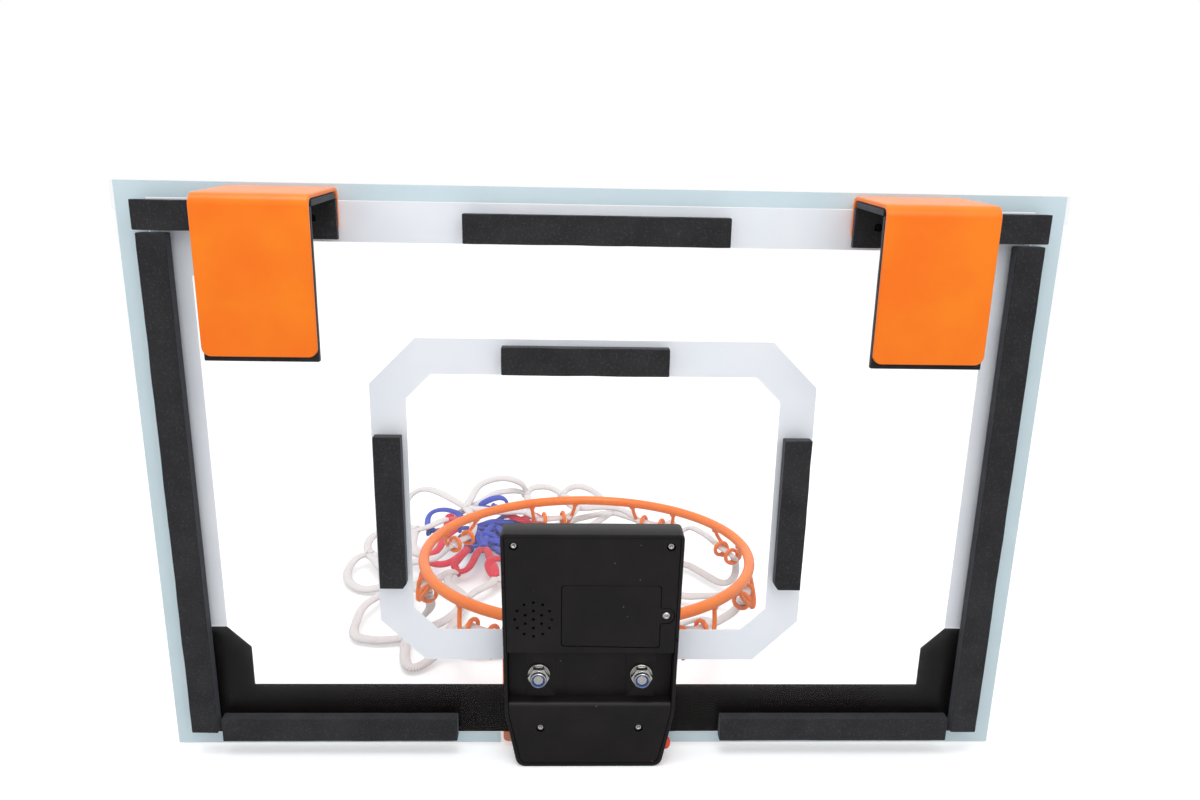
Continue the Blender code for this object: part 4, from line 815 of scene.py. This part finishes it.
WAYS = {
    "A7B7": [(50, -95, 4), (73, -93, 5), (89, -99, 5), (96, -110, 6), (93, -125, 7), (90, -144, 8)],
    "T0b": [(-76, -79, 33), (-82, -95, 27), (-79, -111, 20), (-71, -121, 12)],
    "T1a": [(-107, -125, 26), (-106, -129, 18), (-100, -130, 12), (-88, -125, 8), (-74, -121, 6)],
    "T1b": [(-108, -146, 22), (-99, -159, 13), (-86, -165, 9), (-74, -167, 8), (-62, -173, 8)],
    "T2a": [(-116, -189, 22), (-116, -190, 14), (-112, -187, 10), (-106, -188, 8), (-100, -197, 7),
             (-92, -210, 7), (-81, -224, 7), (-67, -220, 7)],
    "T2b": [(-101, -226, 29), (-96, -249, 25), (-89, -268, 20)],
    "T3a": [(-75, -269, 24), (-78, -266, 19)],
    "T3b": [(-35, -278, 31), (-18, -290, 30), (-1, -289, 29), (11, -296, 29)],
    "T4a": [(6, -287, 31), (13, -303, 31)],
    "T4b": [(45, -263, 33), (52, -270, 33), (72, -269, 33), (87, -271, 34)],
    "T5a": [(91, -238, 33), (95, -257, 35)],
    "T5b": [(111, -187, 30), (119, -195, 24), (138, -205, 16), (154, -212, 13)],
    "T6a": [(118, -140, 26), (133, -164, 20), (154, -193, 14)],
    "T6b": [(107, -120, 24), (112, -127, 14), (118, -128, 8)],
    "T7a": [(80, -75, 30), (88, -89, 17), (96, -90, 8), (102, -84, 5), (107, -78, 4), (114, -75, 4),
             (119, -86, 4), (121, -98, 4)],
    "A3B3": [(16, -324, 33), (6, -323, 37), (-5, -323, 34), (-15, -319, 28)],
    "A3B4": [(25, -324, 32), (33, -325, 35), (42, -323, 36), (49, -320, 35)],
    "A4B4": [(98, -291, 38), (94, -307, 42), (84, -312, 46), (72, -312, 48), (61, -311, 46),
             (54, -314, 40)],
    "A4B5": [(110, -279, 38), (126, -290, 42), (140, -302, 41), (151, -306, 36), (157, -298, 30),
             (158, -283, 25), (152, -268, 21)],
    "A5B5": [(177, -234, 15), (177, -240, 18), (174, -249, 20), (163, -257, 20), (149, -255, 20)],
    "A5B6": [(183, -228, 10), (187, -214, 7), (185, -200, 5), (177, -189, 4), (167, -183, 4),
             (158, -184, 5)],
    "A6B6": [(130, -111, 4), (141, -109, 4), (150, -111, 4), (157, -113, 4), (161, -121, 5),
             (160, -127, 8), (160, -137, 10), (158, -150, 10), (153, -162, 9)],
    "A6B7": [(117, -116, 6), (110, -121, 7), (103, -124, 8), (96, -132, 9), (91, -141, 9)],
    "B4C3": [(49, -300, 29), (46, -287, 24), (40, -277, 20)],
    "B4C4": [(61, -315, 35), (72, -307, 37), (80, -302, 37), (88, -291, 35), (98, -285, 31),
             (107, -281, 28)],
    "B5C4": [(131, -257, 24), (123, -260, 27)],
    "B5C5": [(140, -237, 20), (138, -226, 18)],
    "B6C5": [(147, -207, 12), (142, -223, 17), (134, -221, 17)],
    "B6C6": [(132, -175, 12), (123, -173, 14), (112, -186, 12), (106, -198, 10)],
    "B7C6": [(95, -172, 9), (102, -177, 11), (106, -191, 11), (105, -203, 9)],
    "B7C7": [(83, -170, 9), (74, -179, 10), (70, -188, 9)],
    "C4D4": [(103, -260, 30), (90, -267, 32)],
    "C4D5": [(116, -261, 24), (112, -254, 22)],
    "C5D5": [(123, -222, 15), (118, -229, 17), (116, -240, 20), (112, -249, 22)],
    "C5D6": [(122, -213, 12), (112, -213, 11), (104, -217, 13)],
    "C6D6": [(104, -205, 11), (103, -209, 13), (99, -219, 16)],
    "C6D7": [(95, -204, 9), (91, -208, 11), (88, -220, 14), (86, -229, 16)],
    "C7D7": [(71, -201, 11), (75, -215, 14), (79, -229, 16)],
    "D4E3": [(91, -275, 36), (86, -278, 38), (78, -286, 39), (70, -293, 36), (67, -295, 28)],
    "D4E4": [(90, -279, 24), (108, -282, 18), (122, -272, 15)],
    "D5E4": [(104, -270, 27), (114, -280, 29), (124, -286, 28), (134, -288, 24), (135, -277, 20)]}
SLACK = {"T": 62, "A": 62, "B": 58, "C": 50}
WIDEST_BOW = 13
HEART = (90, -261, 8)
FLOOR_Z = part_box("case_shell")[0].z
TABLE = FLOOR_Z / MM


def placed(x, y, height):
    return Vector((x, y, TABLE + height))


points, held, cords, knots = [], set(), [], {}


def new(point):
    points.append(Vector(point))
    return len(points) - 1


def way(start, end, name, number):
    """Points between the two ends of a cord."""
    if name in WAYS:
        return [placed(*p) for p in WAYS[name]]
    chord = end - start
    if name[0] == "D":
        order = 2 * int(name[1]) + number % 2
        x, y, height = HEART
        curl = []
        for k in range(3):
            turn = 2.4 * order + 1.5 * k
            wide = 7 + 2.2 * (order * 3 % 5)
            curl.append(placed(x + wide * math.cos(turn), y + 0.8 * wide * math.sin(turn),
                               height + 4.5 * ((order + 2 * k) % 4)))
        return curl if (curl[0] - start).length < (curl[2] - start).length else curl[::-1]
    spare = math.sqrt(max((SLACK[name[0]] ** 2 - chord.length ** 2) / 4, 16))
    bow = min(0.62 * spare, WIDEST_BOW) * (1 if number % 2 else -1)
    side = Vector((-chord.y, chord.x, 0)) / chord.length
    bulge = side * bow + Vector((0, 0, 0.35 * abs(bow)))
    return [start + chord * t + bulge * math.sin(math.pi * t) for t in (0.25, 0.5, 0.75)]


for row, places in KNOTS.items():
    knots[row] = [new(placed(*p)) for p in places]
for k, turn in enumerate(TURNS):
    eyes = [on_ring(turn, along, 0.4, -14.4) for along in (-11.5, -9.3, -5, 0, 5, 9.3, 11.5)]
    first, last = knots["A"][k - 1], knots["A"][k]
    one = way(eyes[0], points[first], f"T{k}a", k)[::-1]
    two = way(eyes[-1], points[last], f"T{k}b", k + 1)
    line = smooth_line([points[first], *one, *eyes, *two, points[last]], 3.0)
    ids = [first] + [new(p) for p in line[1:-1]] + [last]
    for i in ids[1:-1]:
        if min((points[i] - eye).length for eye in eyes[1:-1]) < 4:
            held.add(i)
    cords.append((ids, 0))
for number, (row, below, dye) in enumerate((("A", "B", 0), ("B", "C", 0),
                                            ("C", "D", 1), ("D", "E", 2))):
    for k in range(8):
        for j in (k, (k + (1 if number % 2 == 0 else -1)) % 8):
            a, b = knots[row][k], knots[below][j]
            between = way(points[a], points[b], f"{row}{k}{below}{j}", k + (j == k))
            line = smooth_line([points[a], *between, points[b]], 3.0)
            cords.append(([a] + [new(p) for p in line[1:-1]] + [b], dye))
print("cords", len(cords), "with", len(points), "points")

# %% [markdown]
# ## Cords rest on each other
#
# Where two of the drawn ways cross, the cords would run through each other. A short relaxation parts
# them. In each round, points that are nearer than a cord's thickness push each other away, then every
# cord takes back its length and its stiffness, and nothing sinks into the table. Points inside the
# wire eyes stay where they are. The starting shape pulls a little, so the cords keep their drawn lay.

# %% Part the crossing cords
spot = np.array([tuple(p) for p in points])
begin = spot.copy()
links = np.array([(a, b) for ids, _ in cords for a, b in zip(ids, ids[1:])])
bends = np.array([(a, c) for ids, _ in cords for a, c in zip(ids, ids[2:])])
free = np.ones(len(spot))
free[list(held)] = 0
beside = [set() for _ in points]
for a, b in links:
    beside[a].add(b)
    beside[b].add(a)
reach = [{i} for i in range(len(points))]
for _ in range(3):
    reach = [set().union(*(beside[j] | {j} for j in near)) for near in reach]
apart = np.triu(np.ones((len(points), len(points)), bool), 1)
for i, near in enumerate(reach):
    apart[i, list(near)] = False


CLEAR, FLATTER, ROUNDS, DRAWN_PULL, NEAREST = 4.6, (1, 1, 1.35), 44, 0.02, -327.0


def pull(pairs, stiff):
    """Move that brings each pair towards its length in the starting shape."""
    rest = np.linalg.norm(begin[pairs[:, 1]] - begin[pairs[:, 0]], axis=1)
    gap = spot[pairs[:, 1]] - spot[pairs[:, 0]]
    length = np.maximum(np.linalg.norm(gap, axis=1), 1e-9)
    mass = np.maximum(free[pairs[:, 0]] + free[pairs[:, 1]], 1e-9)
    push = (stiff * (length - rest) / length / mass)[:, None] * gap
    move, count = np.zeros_like(spot), np.zeros(len(spot))
    for side, sign in ((0, 1), (1, -1)):
        np.add.at(move, pairs[:, side], sign * free[pairs[:, side]][:, None] * push)
        np.add.at(count, pairs[:, side], 1)
    return move / np.maximum(count, 1)[:, None]


for turn in range(ROUNDS):
    if turn % 2 == 0:
        tall = spot * FLATTER
        square = (tall ** 2).sum(1)
        near2 = square[:, None] + square[None] - 2 * tall @ tall.T
        first, second = np.nonzero((near2 < CLEAR ** 2) & apart)
    gap = (spot[first] - spot[second]) * FLATTER
    length = np.maximum(np.linalg.norm(gap, axis=1), 0.05)
    mass = np.maximum(free[first] + free[second], 1e-9)
    push = (0.35 * np.maximum(CLEAR - length, 0) / length / mass)[:, None] * gap
    np.add.at(spot, first, free[first][:, None] * push)
    np.add.at(spot, second, -free[second][:, None] * push)
    for _ in range(3):
        spot += pull(links, 0.8)
        spot += pull(bends, 0.4)
    spot += (begin - spot) * DRAWN_PULL
    spot[:, 2] = np.maximum(spot[:, 2], TABLE + 2.4)
    spot[:, 1] = np.maximum(spot[:, 1], NEAREST)
    spot[free == 0] = begin[free == 0]
for _ in range(2):
    smooth = spot.copy()
    for ids, _ in cords:
        middle = np.array(ids[1:-1])
        smooth[middle] = (2 * spot[middle] + spot[ids[:-2]] + spot[ids[2:]]) / 4
    smooth[free == 0] = begin[free == 0]
    spot = smooth
spot[:, 2] = np.maximum(spot[:, 2], TABLE + 2.3)
print("cords parted:", round(float(np.abs(spot - begin).max()), 1), "mm is the largest move")

# %% [markdown]
# ## Cords and knots
#
# Each way becomes a flat tube whose broad side turns up, and a little to the back, where it can. At
# each knot a short turn of cord winds round the crossing and hides the ends that meet there.

# %% Make the net
CORD_W, CORD_T, BLUE_NARROWER, LEVEL = 6.6, 3.4, 0.8, 0.12
WRAP_TURNS, WRAP_R, WRAP_LONG, WRAP_W, WRAP_T, STEPS = 1.35, 2.7, 3.2, 4.4, 2.6, 18
parts, dyes = [], []
for ids, dye in cords:
    line = smooth_line([Vector(spot[i]) for i in ids], 1.7)
    narrow = BLUE_NARROWER if dye == 2 else 1.0
    parts.append(sweep(line, narrow * CORD_W / 2, narrow * CORD_T / 2, 12, LEVEL))
    dyes.append(dye)
wraps = {"A": 0, "B": 0, "C": 1, "D": 2, "E": 2}
for row, numbers in knots.items():
    for i in numbers:
        ends = [(ids[1], ids[2]) if ids[0] == i else (ids[-2], ids[-3]) for ids, _ in cords
                if i in (ids[0], ids[-1])]
        half = len(ends) // 2
        out = [Vector(spot[b]) - Vector(spot[i]) for _, b in ends]
        axis = sum(out[half:], Vector()) - sum(out[:half], Vector())
        axis = axis.normalized() if axis.length > 1e-3 else Vector((1, 0, 0))
        across = axis.orthogonal().normalized()
        other = axis.cross(across)
        coil = []
        for k in range(STEPS + 1):
            angle = math.tau * WRAP_TURNS * k / STEPS
            coil.append(Vector(spot[i]) + axis * (WRAP_LONG * k / STEPS - WRAP_LONG / 2)
                        + (across * math.cos(angle) + other * math.sin(angle)) * WRAP_R)
        low = min(p.z for p in coil) - 1.4 - TABLE
        coil = [p + Vector((0, 0, max(0.2 - low, 0))) for p in coil]
        parts.append(sweep(smooth_line(coil, 1.2), WRAP_W / 2, WRAP_T / 2, 10))
        dyes.append(wraps[row])
for corners, _, _ in parts:
    for corner in corners:
        corner.z = max(corner.z, TABLE + 0.1)
net = tubes("net_of_cord", parts, cord_mat)
for name, values in (("along", [mark[0] for part in parts for mark in part[2]]),
                     ("across", [mark[1] for part in parts for mark in part[2]]),
                     ("dye", [dye for part, dye in zip(parts, dyes) for _ in part[2]])):
    net.data.attributes.new(name, "FLOAT", "POINT").data.foreach_set("value", values)
stand_in(net, "net")
print("net", len(net.data.vertices), "corners")

# %% [markdown]
# ## The camera
#
# The photograph was taken close up with a fairly wide lens, from behind the board and a little
# above it. The place and the lens were worked out from the corners of the board, whose size is
# known, and the two axes of the picture are given to the camera as its own X and Y.

# %% Camera
CAMERA_PLACE, LENS_MM = (0.0106, 0.4247, 0.0155), 26.118
camera_data = bpy.data.cameras.new("camera")
camera_data.sensor_width = 36
camera_data.lens = LENS_MM
camera_data.clip_start = 0.01
camera = bpy.data.objects.new("camera", camera_data)
link(camera)
right_axis = Vector((-0.99948, 0.02683, 0.01811)).normalized()
back_axis = Vector((0.03055, 0.96680, 0.25369))
back_axis = (back_axis - right_axis * back_axis.dot(right_axis)).normalized()
up_axis = back_axis.cross(right_axis)
camera.matrix_world = Matrix.Translation(CAMERA_PLACE) @ Matrix(
    (right_axis, up_axis, back_axis)).transposed().to_4x4()
bpy.context.scene.camera = camera
print("camera", [round(v, 4) for v in camera.location], "lens", camera_data.lens)

# %% [markdown]
# ## Floor and light
#
# A pale floor and a white surrounding keep the background white, as in a product photograph. The
# floor looks whiter to the camera than to the object, so it doesn't flood the object with bounced
# light. What shiny things mirror is brighter overhead and behind the object than behind the camera,
# so that edges which face up catch a highlight. A big soft lamp overhead does most of the work, a
# second one fills from the camera's side.

# %% Floor, world and lamps
FLOOR_SIZE, FLOOR_GAP_MM, FLOOR_GLOW = 6, 0.2, 0.22
LAMP_COLOUR = (0.93, 0.97, 1.0)


def kinds_of_ray(tree):
    """Two numbers, 1 or 0: does the camera see by this ray, and is the ray mirrored."""
    path = add(tree, "ShaderNodeLightPath").outputs
    seen = calc(tree, "MAXIMUM", path["Is Camera Ray"], path["Is Transmission Ray"])
    return seen, path["Is Glossy Ray"]


bm = bmesh.new()
bmesh.ops.create_grid(bm, x_segments=1, y_segments=1, size=FLOOR_SIZE,
                      matrix=Matrix.Translation((0, 0, FLOOR_Z - FLOOR_GAP_MM * MM)))
floor_mat, tree, shader = surface("white table", "FFFFFF", 0.7, Specular_IOR_Level=0.1)
seen, mirrored = kinds_of_ray(tree)
tint = mix(tree, seen, linear("D0D0D0"), (0.97, 0.97, 0.97, 1))
tree.links.new(mix(tree, mirrored, tint, linear("B0B0B0")), shader.inputs["Base Color"])
shader.inputs["Emission Color"].default_value = (1, 1, 1, 1)
tree.links.new(calc(tree, "MULTIPLY", seen, FLOOR_GLOW), shader.inputs["Emission Strength"])
piece("floor", bm, floor_mat)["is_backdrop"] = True

world = bpy.data.worlds.new("surroundings")
bpy.context.scene.world = world
world.use_nodes = True
tree = world.node_tree
seen, mirrored = kinds_of_ray(tree)
level = remap(tree, seen, 0, 1, 0.85, 1.0)
way_out = add(tree, "ShaderNodeTexCoord").outputs["Generated"]
upward = add(tree, "ShaderNodeVectorMath", {"operation": "DOT_PRODUCT"},
             {0: way_out, 1: (0, -0.7, 1)})
sky = remap(tree, upward.outputs["Value"], -0.7, 0.8, 0.35, 0.95)
shine = add(tree, "ShaderNodeMix", {"data_type": "FLOAT"}, {"Factor": mirrored, 2: level, 3: sky})
tree.links.new(shine.outputs[0], tree.nodes["Background"].inputs["Strength"])
tree.nodes["Background"].inputs["Color"].default_value = (1, 1, 1, 1)


def lamp(name, place, aim, size, watts):
    """Square soft lamp that points at a spot."""
    data = bpy.data.lights.new(name, "AREA")
    data.size = size
    data.energy = watts
    data.color = LAMP_COLOUR
    obj = bpy.data.objects.new(name, data)
    turned = (Vector(aim) - Vector(place)).to_track_quat("-Z", "Y").to_matrix().to_4x4()
    obj.matrix_world = Matrix.Translation(place) @ turned
    link(obj)


lamp("overhead", (0.15, 0.2, 1.0), (0, 0, -0.15), 0.75, 6.5)
lamp("behind the camera", (-0.3, 1.0, 0.8), (0, 0, -0.15), 0.8, 3.5)
print("floor at", round(FLOOR_Z, 4))

# %% [markdown]
# ## Finish
#
# The box of the finished model is measured and printed in millimetres.

# %% Measure and finish
bpy.context.scene.view_settings.view_transform = "Standard"
low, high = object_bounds()
print("finished model, mm:", [round((b - a) * 1000) for a, b in zip(low, high)])
